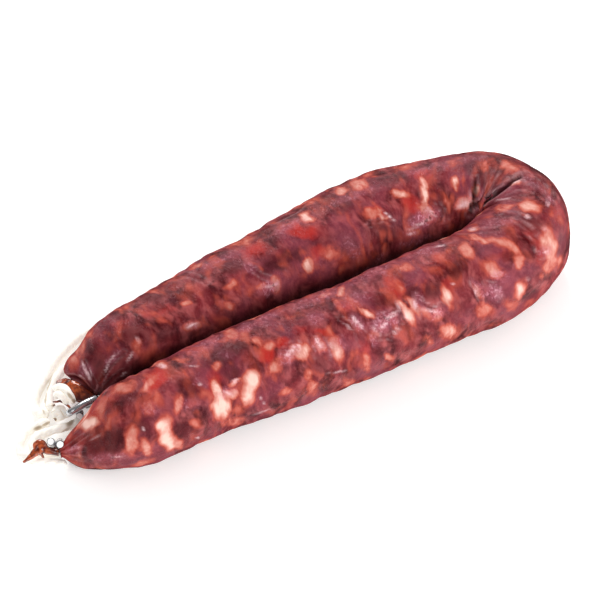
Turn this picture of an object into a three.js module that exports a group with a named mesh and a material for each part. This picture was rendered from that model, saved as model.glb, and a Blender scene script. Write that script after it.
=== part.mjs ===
// A cured sausage folded into a horseshoe, clipped and tied with cotton string.
// Lengths are in millimetres. X runs along the two arms, Y across them, Z up.
import * as THREE from 'three';

// The places below are measured from the middle of the sausage itself. The casing
// tail sticks out at one end, so the whole is moved onto its own middle.
const onto = { x: 6.2, y: -0.27 };

const casingLook = new THREE.MeshStandardMaterial({ color: 0x7a2a26, roughness: 0.4, metalness: 0 });
casingLook.name = 'cured_meat_casing';
const tailLook = new THREE.MeshStandardMaterial({ color: 0x6a2a18, roughness: 0.35, metalness: 0 });
tailLook.name = 'empty_casing';
const clipLook = new THREE.MeshStandardMaterial({ color: 0xc9ccd0, roughness: 0.25, metalness: 1 });
clipLook.name = 'aluminium_wire';
const stringLook = new THREE.MeshStandardMaterial({ color: 0xf2eee6, roughness: 0.95, metalness: 0 });
stringLook.name = 'cotton_string';

function smoothMax(a, b, softness) {
  return 0.5 * (a + b + Math.hypot(a - b, softness));
}

function smoothMin(a, b, softness) {
  return 0.5 * (a + b - Math.hypot(a - b, softness));
}

// Closes a row of rings, all with the same number of points, into one solid.
function loft(rings, firstPoint, lastPoint) {
  const sides = rings[0].length;
  const places = [];
  rings.forEach((ring) => ring.forEach((p) => places.push(p.x, p.y, p.z)));
  const first = places.length / 3;
  places.push(firstPoint.x, firstPoint.y, firstPoint.z);
  const last = first + 1;
  places.push(lastPoint.x, lastPoint.y, lastPoint.z);
  const faces = [];
  for (let i = 0; i < rings.length - 1; i += 1) {
    for (let j = 0; j < sides; j += 1) {
      const next = (j + 1) % sides;
      const a = i * sides + j;
      const b = i * sides + next;
      const c = a + sides;
      const d = b + sides;
      faces.push(a, b, d, a, d, c);
    }
  }
  const top = (rings.length - 1) * sides;
  for (let j = 0; j < sides; j += 1) {
    const next = (j + 1) % sides;
    faces.push(first, next, j);
    faces.push(last, top + j, top + next);
  }
  const solid = new THREE.BufferGeometry();
  solid.setAttribute('position', new THREE.Float32BufferAttribute(places, 3));
  solid.setIndex(faces);
  turnOutward(solid);
  return solid;
}

function turnOutward(solid) {
  const place = solid.attributes.position;
  const index = solid.index;
  const a = new THREE.Vector3();
  const b = new THREE.Vector3();
  const c = new THREE.Vector3();
  let volume = 0;
  for (let i = 0; i < index.count; i += 3) {
    a.fromBufferAttribute(place, index.getX(i));
    b.fromBufferAttribute(place, index.getX(i + 1));
    c.fromBufferAttribute(place, index.getX(i + 2));
    volume += a.dot(b.cross(c));
  }
  if (volume < 0) {
    for (let i = 0; i < index.count; i += 3) {
      const kept = index.getX(i + 1);
      index.setX(i + 1, index.getX(i + 2));
      index.setX(i + 2, kept);
    }
  }
}

function curveThrough(points) {
  const places = points.map((p) => new THREE.Vector3(p[0], p[1], p[2]));
  return new THREE.CatmullRomCurve3(places, false, 'centripetal');
}

// A value read off a row of [distance, value] stations, with a smooth run between them.
function alongStations(stations, distance) {
  const last = stations.length - 1;
  if (distance <= stations[0][0]) return stations[0][1];
  if (distance >= stations[last][0]) return stations[last][1];
  let i = 0;
  while (distance > stations[i + 1][0]) i += 1;
  const share = (distance - stations[i][0]) / (stations[i + 1][0] - stations[i][0]);
  const eased = share * share * (3 - 2 * share);
  const blend = 0.5 * share + 0.5 * eased;
  return stations[i][1] + (stations[i + 1][1] - stations[i][1]) * blend;
}

// A round wire or tube along a curve. The section may be oval: wide across the
// curve's own flat direction, and tall along `upright`.
function tube(curve, upright, steps, sides, wide, tall, ripple) {
  const rings = [];
  const up = new THREE.Vector3(upright[0], upright[1], upright[2]);
  for (let i = 0; i <= steps; i += 1) {
    const share = i / steps;
    const centre = curve.getPointAt(share);
    const ahead = curve.getTangentAt(share);
    const across = new THREE.Vector3().crossVectors(ahead, up).normalize();
    const rise = new THREE.Vector3().crossVectors(across, ahead).normalize();
    const ring = [];
    for (let j = 0; j < sides; j += 1) {
      const turn = (j / sides) * Math.PI * 2;
      const swell = ripple ? ripple(share, turn) : 1;
      const point = centre.clone();
      point.addScaledVector(across, Math.cos(turn) * wide(share) * swell);
      point.addScaledVector(rise, Math.sin(turn) * tall(share) * swell);
      ring.push(point);
    }
    rings.push(ring);
  }
  return loft(rings, curve.getPointAt(0), curve.getPointAt(1));
}

// The sausage.

const sausage = {
  // Middle of the meat, from the clipped neck in front, round the bend and back.
  route: [
    [-91.2, -14.7], [-86.8, -15.6], [-79, -17.9], [-66, -20.5], [-45, -18.7], [-22, -19],
    [0, -19.4], [20, -19], [38, -17.9], [52, -17.9], [62.3, -15.1], [70.5, -9.3],
    [73.7, -0.4], [70.3, 7.6], [62, 12.5], [50, 16.1], [30, 18.3], [6, 15.7],
    [-20, 13.5], [-45, 10.1], [-60, 8], [-70, 8.3], [-80, 11.2],
  ],
  // Radius of the meat at distances along that route.
  girth: [[20, 13.6], [45, 14.1], [80, 15.2], [130, 15.9], [160, 16.5], [185, 17.5],
    [210, 16.8], [240, 16.3], [275, 14.4], [305, 13], [335, 12.4]],
  frontCap: 26,
  frontCone: 0.73,
  backCap: 24,
  neckRadius: 1.35,
  frontTipHeight: 5.6,
  backTipHeight: 8,
  flatFoot: 0.45,
  // The two arms stay clear of this line between them, which ends inside the bend.
  grooveStart: [-85, -6.2],
  grooveMiddle: [-20, -2.6],
  grooveEnd: [56.5, -0.8],
  grooveHalf: 0.7,
  creaseSoft: 1.6,
  footSoft: 1.5,
  sink: 0.03,
  lump: { height: 0.28, along: 8.5, drift: 13, fine: 0.6, fineAlong: 4.7, fullAtRadius: 12 },
  pleat: { count: 9, depth: 0.16, reach: 5 },
  measuredSteps: 2000,
  rings: 104,
  bunching: 0.075,
  lastGap: 0.35,
  sides: 32,
};

// The far end is gathered to one side, where the casing leaves it.
const gather = {
  x: -74.6,
  y: -1.7,
  z: 9.4,
  onlyBefore: -60,
  reach: 14,
  pull: 0.72,
  pleats: 9,
  depth: 0.35,
  lean: 0.7,
};

// Under a crease, the far end is tucked in behind this leaning plane.
const tuck = {
  place: [-79.4, 9.85, 9.5],
  outward: [-0.72, -0.26, -0.643],
  onlyBefore: -60,
  soft: 1.2,
};

function tuckIn(point) {
  if (point.x > tuck.onlyBefore) return;
  const outward = new THREE.Vector3(...tuck.outward);
  const beyond = point.clone().sub(new THREE.Vector3(...tuck.place)).dot(outward);
  const kept = smoothMin(beyond, 0, tuck.soft);
  if (beyond > -4 * tuck.soft) point.addScaledVector(outward, kept - beyond);
}

function grooveDistance(x, y) {
  const { grooveStart, grooveMiddle, grooveEnd } = sausage;
  if (x >= grooveEnd[0]) return Math.hypot(x - grooveEnd[0], y - grooveEnd[1]);
  const from = x < grooveMiddle[0] ? grooveStart : grooveMiddle;
  const to = x < grooveMiddle[0] ? grooveMiddle : grooveEnd;
  const share = (x - from[0]) / (to[0] - from[0]);
  return Math.abs(y - (from[1] + share * (to[1] - from[1])));
}

function sausageRadius(distance, total) {
  const body = alongStations(sausage.girth, distance);
  const front = Math.min(distance / sausage.frontCap, 1);
  const back = Math.min((total - distance) / sausage.backCap, 1);
  const frontRound = (1 - (1 - front) * (1 - front)) ** sausage.frontCone;
  const backRound = Math.sqrt(Math.max(0, 1 - (1 - back) * (1 - back)));
  return body * frontRound * backRound;
}

function lumps(distance, turn) {
  const { height, along, drift, fine, fineAlong } = sausage.lump;
  const slow = Math.sin(distance / along + Math.sin(turn)) * Math.cos(turn * 2 + distance / drift);
  const quick = fine * Math.sin(distance / fineAlong + turn * 3);
  return height * (slow + quick);
}

function gatherIn(point) {
  const dx = point.x - gather.x;
  const dy = point.y - gather.y;
  const dz = point.z - gather.z;
  const away = Math.hypot(dx, dy, dz);
  if (away > gather.reach || point.x > gather.onlyBefore) return;
  const near = 1 - away / gather.reach;
  const weight = gather.pull * near * near;
  const around = Math.atan2(dz, (dx - dy) * gather.lean);
  const fold = 1 + gather.depth * Math.cos(around * gather.pleats) * near;
  point.x -= dx * weight * fold;
  point.y -= dy * weight * fold;
  point.z -= dz * weight * fold;
}

function buildSausage() {
  const curve = curveThrough(sausage.route.map((p) => [p[0], p[1], 0]));
  curve.arcLengthDivisions = sausage.measuredSteps;
  const total = curve.getLength();
  const rings = [];
  for (let i = 0; i <= sausage.rings; i += 1) {
    // The rings stand closer together toward both ends.
    const even = i / sausage.rings;
    const share = even - Math.sin(even * Math.PI * 2) * sausage.bunching;
    const distance = Math.min(Math.max(share * total, 0.01), total - sausage.lastGap);
    const centre = curve.getPointAt(distance / total);
    const ahead = curve.getTangentAt(distance / total);
    const left = new THREE.Vector3(-ahead.y, ahead.x, 0);
    const plain = sausageRadius(distance, total);
    const atFront = distance < total / 2;
    const tipHeight = atFront ? sausage.frontTipHeight : sausage.backTipHeight;
    const radius = atFront ? Math.max(plain, sausage.neckRadius) : plain;
    const height = smoothMax(radius - sausage.flatFoot, tipHeight, sausage.footSoft) - sausage.sink;
    const space = grooveDistance(centre.x, centre.y) - sausage.grooveHalf;
    const ring = [];
    for (let j = 0; j < sausage.sides; j += 1) {
      const turn = (j / sausage.sides) * Math.PI * 2;
      const fade = Math.exp(-distance / sausage.pleat.reach);
      const pleat = 1 + sausage.pleat.depth * fade * Math.cos(turn * sausage.pleat.count);
      const swell = lumps(distance, turn) * Math.min(1, radius / sausage.lump.fullAtRadius);
      const reach = radius * pleat + swell;
      let sideways = Math.cos(turn) * reach;
      // Left of the direction of travel is the inside of the horseshoe.
      if (sideways > 0) sideways = smoothMin(sideways, space, sausage.creaseSoft);
      const point = centre.clone().addScaledVector(left, sideways);
      point.z = height + Math.sin(turn) * reach;
      if (!atFront) tuckIn(point);
      gatherIn(point);
      point.z = Math.max(point.z, 0);
      ring.push(point);
    }
    rings.push(ring);
  }
  const start = curve.getPointAt(0);
  start.z = sausage.frontTipHeight;
  const end = curve.getPointAt(1);
  end.z = sausage.backTipHeight;
  return loft(rings, start, end);
}

// The two empty tails of casing.

const frontTail = {
  route: [[-92.3, -14, 5.5], [-93.3, -13.2, 5.5], [-94.9, -12, 5.7], [-96.4, -10.6, 6.1],
    [-98.2, -10.5, 5.4], [-100.4, -10.9, 4.5], [-102.8, -11.2, 3.9]],
  upright: [0.15, 0.65, 0.74],
  wide: [[0, 1.15], [0.35, 1.15], [0.47, 1.7], [0.7, 1.2], [1, 0.4]],
  tall: [[0, 1.1], [0.32, 1.1], [0.45, 2.7], [0.52, 2.5], [0.6, 1.2], [0.75, 0.8], [1, 0.35]],
  folds: 5,
};

const backTail = {
  route: [[-76.9, -3.6, 8], [-77.5, -1.8, 8.3], [-78.5, 0.6, 9], [-79.8, 3.9, 9.1],
    [-81, 7.1, 8.6], [-82.1, 9.9, 8]],
  upright: [0, 0, 1],
  wide: [[0, 0.65], [0.1, 0.8], [0.22, 2.1], [0.45, 2.8], [0.7, 2.2], [0.9, 1.7], [1, 0.9]],
  tall: [[0, 0.65], [0.12, 0.7], [0.26, 1.5], [0.42, 2.6], [0.6, 2.8], [0.8, 2.3], [1, 0.8]],
  folds: 4,
};

const tailMesh = { steps: 14, sides: 18, foldDepth: 0.13, foldTwist: 3, fullFrom: 3 };

function buildTail(tail) {
  const { steps, sides, foldDepth, foldTwist, fullFrom } = tailMesh;
  const curve = curveThrough(tail.route);
  const depth = (share) => foldDepth * Math.min(1, share * fullFrom);
  const ripple = (share, turn) => 1 + depth(share) * Math.cos(turn * tail.folds + share * foldTwist);
  const wide = (share) => alongStations(tail.wide, share);
  const tall = (share) => alongStations(tail.tall, share);
  return tube(curve, tail.upright, steps, sides, wide, tall, ripple);
}

// The two wire clips.

const wire = { radius: 1.15, sides: 12, steps: 26 };

// The front clip is closed behind the neck, and its two ends stand up side by side on top.
const frontClip = {
  neck: [-92.6, -13.5],
  along: [-0.91, 0.41],
  // Across the neck toward the back, up, and along it toward the tail.
  turns: [[0.5, 9.6, 1.6], [1.5, 8.4, 1.6], [2.5, 7, 1.5], [2.85, 5.6, 1.3], [2.75, 4.8, 0.1],
    [2.8, 5.6, -0.85], [2.1, 7.4, -0.9], [0.6, 8.6, -1], [-1, 9.8, -1.2]],
};

// The back clip shows its upper side as a bar, with one wire end in front of it.
const backClip = {
  route: [[-81.4, -4.5, 6.4], [-80.7, -3.3, 5.9], [-80.6, -2, 5.6], [-81.3, -1.1, 5.5],
    [-82.4, -1.2, 5.9], [-83.6, -2.2, 7], [-84, -3.6, 8.5], [-82.4, -4.2, 9.7],
    [-79.6, -4.1, 10.3], [-77, -3.8, 10.3], [-74.9, -3.3, 9.9]],
};

function buildClip(points) {
  const curve = curveThrough(points);
  const frames = curve.computeFrenetFrames(wire.steps, false);
  const rings = [];
  for (let i = 0; i <= wire.steps; i += 1) {
    const centre = curve.getPointAt(i / wire.steps);
    const ring = [];
    for (let j = 0; j < wire.sides; j += 1) {
      const turn = (j / wire.sides) * Math.PI * 2;
      const point = centre.clone();
      point.addScaledVector(frames.normals[i], Math.cos(turn) * wire.radius);
      point.addScaledVector(frames.binormals[i], Math.sin(turn) * wire.radius);
      ring.push(point);
    }
    rings.push(ring);
  }
  return loft(rings, curve.getPointAt(0), curve.getPointAt(1));
}

function buildFrontClip() {
  const { neck, along, turns } = frontClip;
  const across = [along[1], -along[0]];
  const points = turns.map(([a, z, t]) => [
    neck[0] + across[0] * a + along[0] * t,
    neck[1] + across[1] * a + along[1] * t,
    z,
  ]);
  return buildClip(points);
}

// The string.

const cord = { radius: 1.4, sides: 8, loopSteps: 46, tieSteps: 20 };

// The hanging loop leaves the knot, swings out, goes behind the far end and comes back.
const hangingLoop = [
  [-88.6, 3, 3.8], [-90.6, 5.9, 2.3], [-90.7, 9.2, 1.6], [-89.4, 12, 1.6], [-87.6, 14.4, 1.6],
  [-85, 17, 1.6],
  [-82, 19.8, 1.6], [-79, 22.7, 1.6], [-75.4, 25.4, 1.6], [-71, 28.1, 1.6], [-65.8, 30.4, 1.6],
  [-60.4, 31, 1.6], [-56.2, 29.2, 1.6], [-54.6, 25.6, 1.6], [-56.6, 22.1, 1.6], [-61, 20.6, 1.6],
  [-66.8, 20.4, 1.6], [-72.2, 20.8, 1.6], [-76.4, 19.9, 1.6], [-79.4, 17.9, 1.6],
  [-82.2, 15.2, 1.7], [-84.6, 11.6, 2.1], [-86.4, 8.2, 2.9], [-86.9, 5.4, 4], [-86.6, 4.3, 4.8],
];

// Two strands leave the knot, go round the front casing tail and in under its neck.
const outerStrand = [
  [-89.7, -0.5, 4.6], [-91.9, 0.7, 3.1], [-94.2, 1.5, 2], [-96.9, 1.1, 1.6], [-99.4, -0.8, 1.6],
  [-101, -3.6, 1.6], [-101, -6.8, 1.6], [-99.3, -9.9, 1.6], [-96.6, -12.4, 1.6],
  [-92.8, -14.8, 1.5], [-91, -16.1, 1.5],
];

const innerStrand = [
  [-79.4, -1.4, 1.7], [-82, -3, 2.6], [-84.4, -4.5, 3.8], [-86.7, -4.9, 4.6],
  [-88.9, -4.3, 4.3], [-91.2, -3.4, 3.5], [-93.6, -2.6, 2.4], [-96, -3, 1.7],
  [-97.3, -4.8, 1.6], [-97.2, -6.9, 1.6], [-95.9, -8.6, 1.6], [-93.8, -9.8, 1.6],
  [-90.6, -10.9, 1.6],
];

function buildCord(points, steps) {
  const curve = curveThrough(points);
  const round = () => cord.radius;
  return tube(curve, [0, 0, 1], steps, cord.sides, round, round);
}

// The knot is a plump lump of crossed turns.
const knot = {
  centre: [-86.2, 0.1, 5.6],
  half: [2.6, 2.6, 2.5],
  rows: 12,
  sides: 18,
  turnDepth: 0.09,
  turnTwist: 2.2,
  bulge: 0.05,
};

function buildKnot() {
  const rings = [];
  for (let i = 1; i < knot.rows; i += 1) {
    const tilt = (i / knot.rows) * Math.PI - Math.PI / 2;
    const ring = [];
    for (let j = 0; j < knot.sides; j += 1) {
      const turn = (j / knot.sides) * Math.PI * 2;
      const crossing = Math.abs(Math.sin(turn * 2 + tilt * knot.turnTwist));
      const groove = 1 - knot.turnDepth * crossing + knot.bulge * Math.cos(turn * 3);
      ring.push(new THREE.Vector3(
        knot.centre[0] + Math.cos(turn) * Math.cos(tilt) * knot.half[0] * groove,
        knot.centre[1] + Math.sin(turn) * Math.cos(tilt) * knot.half[1] * groove,
        knot.centre[2] + Math.sin(tilt) * knot.half[2] * groove,
      ));
    }
    rings.push(ring);
  }
  const low = new THREE.Vector3(knot.centre[0], knot.centre[1], knot.centre[2] - knot.half[2]);
  const high = new THREE.Vector3(knot.centre[0], knot.centre[1], knot.centre[2] + knot.half[2]);
  return loft(rings, low, high);
}

// Two turns of string, side by side, cross the casing behind the back clip.
const neckWrap = {
  route: [[-82.9, -1.7, 10], [-83.1, -1, 11.4], [-83.5, 0.3, 12.7], [-84, 2, 12.8],
    [-84.6, 3.6, 11.6], [-85.1, 4.7, 9.7]],
  upright: [-0.6, -0.1, 0.8],
  wide: 2.3,
  tall: 1.2,
  firstEnd: { least: 0.6, rise: 5 },
  lastEnd: { least: 0.45, rise: 1.4 },
  steps: 14,
  sides: 14,
};

function buildNeckWrap() {
  const { firstEnd, lastEnd } = neckWrap;
  const curve = curveThrough(neckWrap.route);
  const fromFirst = (share) => firstEnd.least + firstEnd.rise * share;
  const fromLast = (share) => lastEnd.least + lastEnd.rise * (1 - share);
  const rounded = (share) => Math.min(1, fromFirst(share), fromLast(share));
  const wide = (share) => neckWrap.wide * rounded(share);
  const tall = (share) => neckWrap.tall * rounded(share);
  return tube(curve, neckWrap.upright, neckWrap.steps, neckWrap.sides, wide, tall);
}

// The whole.

const whole = new THREE.Group();
whole.name = 'cured_sausage';

function addPiece(name, solid, look) {
  solid.translate(onto.x, onto.y, 0);
  solid.computeVertexNormals();
  const piece = new THREE.Mesh(solid, look);
  piece.name = name;
  whole.add(piece);
}

addPiece('sausage', buildSausage(), casingLook);
addPiece('casing_tail_near', buildTail(frontTail), tailLook);
addPiece('casing_tail_far', buildTail(backTail), tailLook);
addPiece('clip_near', buildFrontClip(), clipLook);
addPiece('clip_far', buildClip(backClip.route), clipLook);
addPiece('string_knot', buildKnot(), stringLook);
addPiece('string_neck_wrap', buildNeckWrap(), stringLook);
addPiece('string_hanging_loop', buildCord(hangingLoop, cord.loopSteps), stringLook);
addPiece('string_tie_outer', buildCord(outerStrand, cord.tieSteps), stringLook);
addPiece('string_tie_inner', buildCord(innerStrand, cord.tieSteps), stringLook);

export default whole;
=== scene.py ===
import math

import bmesh
import bpy
import numpy as np
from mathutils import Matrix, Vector, noise
from mathutils.bvhtree import BVHTree


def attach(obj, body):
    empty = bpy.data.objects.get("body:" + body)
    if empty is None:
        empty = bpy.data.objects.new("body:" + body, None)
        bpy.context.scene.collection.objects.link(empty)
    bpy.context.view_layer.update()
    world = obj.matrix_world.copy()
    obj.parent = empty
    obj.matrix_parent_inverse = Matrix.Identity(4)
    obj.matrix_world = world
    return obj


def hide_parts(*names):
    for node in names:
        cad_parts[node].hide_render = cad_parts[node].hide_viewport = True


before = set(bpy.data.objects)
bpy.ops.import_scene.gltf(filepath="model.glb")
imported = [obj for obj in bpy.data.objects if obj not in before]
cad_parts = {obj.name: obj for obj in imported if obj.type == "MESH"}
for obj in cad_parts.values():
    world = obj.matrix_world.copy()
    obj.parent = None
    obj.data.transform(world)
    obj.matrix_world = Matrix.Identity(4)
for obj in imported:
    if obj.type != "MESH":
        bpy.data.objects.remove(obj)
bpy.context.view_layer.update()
fullTurn = 2 * math.pi
metre = 1000.0  # millimetres
frameSteps = 400  # side and rise directions worked out along a route
noiseStep = np.array([7.31, 3.17, 5.71])  # how far one seed moves a noise

# The casing tail sticks out at one end, so the whole was moved onto its own middle.
onto = np.array([6.2, -0.27, 0.0])

scene = bpy.context.scene

# The camera.
photoCamera = {
    "place": (-0.2047, -0.3894, 0.4562),
    "target": (0.0095, 0.0134, 0.0),
    "lens": 120.0,
    "sensor": 36.0,
    "pixels": 600,
}


def addCamera():
    lens = bpy.data.cameras.new("photo_camera")
    lens.lens = photoCamera["lens"]
    lens.sensor_width = photoCamera["sensor"]
    lens.clip_start = 0.01
    lens.clip_end = 20.0
    camera = bpy.data.objects.new("photo_camera", lens)
    scene.collection.objects.link(camera)
    place = Vector(photoCamera["place"])
    ahead = Vector(photoCamera["target"]) - place
    camera.location = place
    camera.rotation_euler = ahead.to_track_quat("-Z", "Y").to_euler()
    scene.camera = camera
    bpy.context.view_layer.update()
    return camera


camera = addCamera()
print("camera set")


# Shared geometry helpers.
def smoothMax(a, b, softness):
    return 0.5 * (a + b + np.hypot(a - b, softness))


def smoothMin(a, b, softness):
    return 0.5 * (a + b - np.hypot(a - b, softness))


def smoothStep(low, high, value):
    share = np.clip((value - low) / (high - low), 0.0, 1.0)
    return share * share * (3 - 2 * share)


# The same curve as the CAD's: a centripetal curve through the points, measured along itself.
def measuredRoute(points, steps=60):
    given = np.array([list(p) + [0.0] * (3 - len(p)) for p in points], dtype=float)
    first = 2 * given[0] - given[1]
    last = 2 * given[-1] - given[-2]
    padded = np.vstack([first, given, last])
    share = np.linspace(0.0, 1.0, steps, endpoint=False)[:, None]
    places = []
    for i in range(len(given) - 1):
        p0, p1, p2, p3 = padded[i:i + 4]
        t0, t1, t2 = (math.sqrt(np.linalg.norm(b - a)) for a, b in ((p0, p1), (p1, p2), (p2, p3)))
        leave = ((p1 - p0) / t0 - (p2 - p0) / (t0 + t1) + (p2 - p1) / t1) * t1
        arrive = ((p2 - p1) / t1 - (p3 - p1) / (t1 + t2) + (p3 - p2) / t2) * t1
        square = 3 * (p2 - p1) - 2 * leave - arrive
        cube = 2 * (p1 - p2) + leave + arrive
        places.append(p1 + leave * share + square * share ** 2 + cube * share ** 3)
    places.append(given[-1:])
    places = np.vstack(places)
    gaps = np.linalg.norm(np.diff(places, axis=0), axis=1)
    return {"places": places, "along": np.concatenate([[0.0], np.cumsum(gaps)])}


def lengthOf(route):
    return route["along"][-1]


def placeOn(route, distance):
    return np.stack([np.interp(distance, route["along"], route["places"][:, k]) for k in range(3)], axis=-1)


def aheadOn(route, distance, reach=0.2):
    low = np.clip(distance - reach, 0.0, lengthOf(route))
    high = np.clip(distance + reach, 0.0, lengthOf(route))
    ahead = placeOn(route, high) - placeOn(route, low)
    return ahead / np.linalg.norm(ahead, axis=-1, keepdims=True)


def unit(vectors):
    return vectors / np.maximum(np.linalg.norm(vectors, axis=-1, keepdims=True), 1e-9)


# Sideways and upward directions that are carried along a route without twisting.
def carriedFrames(route, distances):
    ahead = aheadOn(route, distances)
    start = np.array([0.0, 0.0, 1.0])
    side = unit(np.cross(ahead[0], start))
    sides = [side]
    for i in range(1, len(distances)):
        side = side - ahead[i] * np.dot(side, ahead[i])
        side = side / np.linalg.norm(side)
        sides.append(side)
    sides = np.array(sides)
    return sides, np.cross(sides, ahead)


def alongStations(stations, distance):
    at = np.array([s[0] for s in stations], dtype=float)
    value = np.array([s[1] for s in stations], dtype=float)
    i = np.clip(np.searchsorted(at, distance, side="right") - 1, 0, len(at) - 2)
    share = np.clip((distance - at[i]) / (at[i + 1] - at[i]), 0.0, 1.0)
    eased = share * share * (3 - 2 * share)
    return value[i] + (value[i + 1] - value[i]) * 0.5 * (share + eased)


def readPlaces(mesh):
    flat = np.empty(len(mesh.vertices) * 3)
    mesh.vertices.foreach_get("co", flat)
    return flat.reshape(-1, 3)


def readNormals(mesh):
    flat = np.empty(len(mesh.vertices) * 3)
    mesh.vertex_normals.foreach_get("vector", flat)
    return flat.reshape(-1, 3)


def writePlaces(mesh, places):
    mesh.vertices.foreach_set("co", places.astype(np.float32).ravel())
    mesh.update()


def keepVectors(mesh, name, vectors):
    store = mesh.attributes.new(name, "FLOAT_VECTOR", "POINT")
    store.data.foreach_set("vector", vectors.astype(np.float32).ravel())


def keepNumbers(mesh, name, numbers):
    store = mesh.attributes.new(name, "FLOAT", "POINT")
    store.data.foreach_set("value", numbers.astype(np.float32))


def smoothAll(mesh):
    mesh.polygons.foreach_set("use_smooth", np.ones(len(mesh.polygons), dtype=bool))


# A flat grid wrapped into a closed tube. placeOf gives the points, and their places on the
# straightened tube, from each point's share of the length and its turn.
def wrappedTube(name, rings, sides, placeOf):
    form = bmesh.new()
    bmesh.ops.create_grid(form, x_segments=rings, y_segments=sides, size=0.5)
    mesh = bpy.data.meshes.new(name)
    form.to_mesh(mesh)
    form.free()
    flat = readPlaces(mesh)
    places, straight = placeOf(flat[:, 0] + 0.5, (flat[:, 1] + 0.5) * fullTurn)
    writePlaces(mesh, (places + onto) / metre)
    keepVectors(mesh, "straightPlace", straight)
    form = bmesh.new()
    form.from_mesh(mesh)
    bmesh.ops.remove_doubles(form, verts=form.verts, dist=1e-7)
    bmesh.ops.recalc_face_normals(form, faces=form.faces)
    form.to_mesh(mesh)
    form.free()
    smoothAll(mesh)
    piece = bpy.data.objects.new(name, mesh)
    scene.collection.objects.link(piece)
    return piece


# The share of the length with the first and last ring drawn together into a point.
def cappedShare(share, rings):
    inner = np.clip((share * rings - 1) / (rings - 2), 0.0, 1.0)
    closed = (share * rings < 0.5) | (share * rings > rings - 0.5)
    return inner, np.where(closed, 0.0, 1.0)


# A tube of any section along a route. reachOf gives how far the skin stands out to the side
# and upward at a share of the length and a turn.
def routedTube(name, route, rings, sides, reachOf, upright=None):
    total = lengthOf(route)

    def placeOf(share, turn):
        inner, stillOpen = cappedShare(share, rings)
        steps = np.linspace(0.0, 1.0, frameSteps)
        if upright is None:
            sideRow, riseRow = carriedFrames(route, steps * total)
        else:
            aheadRow = aheadOn(route, steps * total)
            sideRow = unit(np.cross(aheadRow, np.array(upright)))
            riseRow = np.cross(sideRow, aheadRow)
        side, rise = (unit(np.stack([np.interp(inner, steps, row[:, k]) for k in range(3)], axis=-1))
                      for row in (sideRow, riseRow))
        wide, tall = reachOf(inner, turn)
        across, up = np.cos(turn) * wide, np.sin(turn) * tall
        out = stillOpen[:, None] * (side * across[:, None] + rise * up[:, None])
        straight = np.stack([across, up, inner * total], axis=-1)
        return placeOn(route, inner * total) + out, straight

    return wrappedTube(name, rings, sides, placeOf)


def pushOut(piece, amounts):
    mesh = piece.data
    writePlaces(mesh, readPlaces(mesh) + readNormals(mesh) * (amounts / metre)[:, None])


def straightPlaces(piece):
    flat = np.empty(len(piece.data.vertices) * 3)
    piece.data.attributes["straightPlace"].data.foreach_get("vector", flat)
    return flat.reshape(-1, 3)


# Smooth noise over points, with the points divided by a size in each direction.
def noiseOver(points, size, seed):
    moved = points / np.array(size) + seed * noiseStep
    return np.array([noise.noise(Vector(p)) for p in moved])


# Shared shader helpers.
def feed(tree, made, inputs):
    for key, value in inputs.items():
        if isinstance(value, bpy.types.NodeSocket):
            tree.links.new(value, made.inputs[key])
        else:
            made.inputs[key].default_value = value


def addNode(tree, kind, inputs=None, **settings):
    made = tree.nodes.new(kind)
    for key, value in settings.items():
        setattr(made, key, value)
    feed(tree, made, inputs or {})
    return made


# What a piece's mesh keeps under a name, such as a mark or its straightened places.
def readKept(tree, name, output="Fac"):
    return addNode(tree, "ShaderNodeAttribute", attribute_name=name).outputs[output]


def bumped(tree, height, strength, distance):
    inputs = {"Height": height, "Strength": strength, "Distance": distance}
    return addNode(tree, "ShaderNodeBump", inputs).outputs[0]


def colour(red, green, blue):
    parts = []
    for part in (red, green, blue):
        part = part / 255
        parts.append(part / 12.92 if part <= 0.04045 else ((part + 0.055) / 1.055) ** 2.4)
    return (*parts, 1.0)


# A Mix node's share and colours are its sockets 0, 6 and 7, and its colour comes out of 2.
def mixed(tree, share, first, second):
    return addNode(tree, "ShaderNodeMix", {0: share, 6: first, 7: second}, data_type="RGBA").outputs[2]


def calculated(tree, operation, first, second=0.0, third=0.0):
    made = addNode(tree, "ShaderNodeMath", {0: first, 1: second, 2: third}, operation=operation)
    return made.outputs[0]


def ranged(tree, value, low, high, toLow=0.0, toHigh=1.0):
    made = addNode(tree, "ShaderNodeMapRange", {0: value, 1: low, 2: high, 3: toLow, 4: toHigh})
    made.interpolation_type = "SMOOTHSTEP"
    return made.outputs[0]


def noised(tree, vector, scale, detail=2.0, roughness=0.5, distortion=0.0):
    inputs = {"Vector": vector, "Scale": scale, "Detail": detail,
              "Roughness": roughness, "Distortion": distortion}
    return addNode(tree, "ShaderNodeTexNoise", inputs).outputs["Fac"]


def stretched(tree, vector, scale, moved):
    made = addNode(tree, "ShaderNodeMapping", {"Vector": vector, "Location": moved, "Scale": scale})
    return made.outputs[0]


# A noise with its scales per millimetre and how far it is moved.
def patterned(tree, place, scale, moved, detail, roughness=0.5, distortion=0.0):
    return noised(tree, stretched(tree, place, scale, moved), 1.0, detail, roughness, distortion)


def newMaterial(name):
    material = bpy.data.materials.new(name)
    material.use_nodes = True
    tree = material.node_tree
    tree.nodes.clear()
    skin = addNode(tree, "ShaderNodeBsdfPrincipled")
    end = addNode(tree, "ShaderNodeOutputMaterial")
    tree.links.new(skin.outputs[0], end.inputs[0])
    return material, tree, skin


def newGroup(name, takes, gives):
    group = bpy.data.node_groups.new(name, "ShaderNodeTree")
    for socket, kind in takes:
        group.interface.new_socket(socket, in_out="INPUT", socket_type=kind)
    for socket, kind in gives:
        group.interface.new_socket(socket, in_out="OUTPUT", socket_type=kind)
    return group, group.nodes.new("NodeGroupInput"), group.nodes.new("NodeGroupOutput")


def useGroup(tree, group, inputs):
    return addNode(tree, "ShaderNodeGroup", inputs, node_tree=group).outputs


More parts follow.
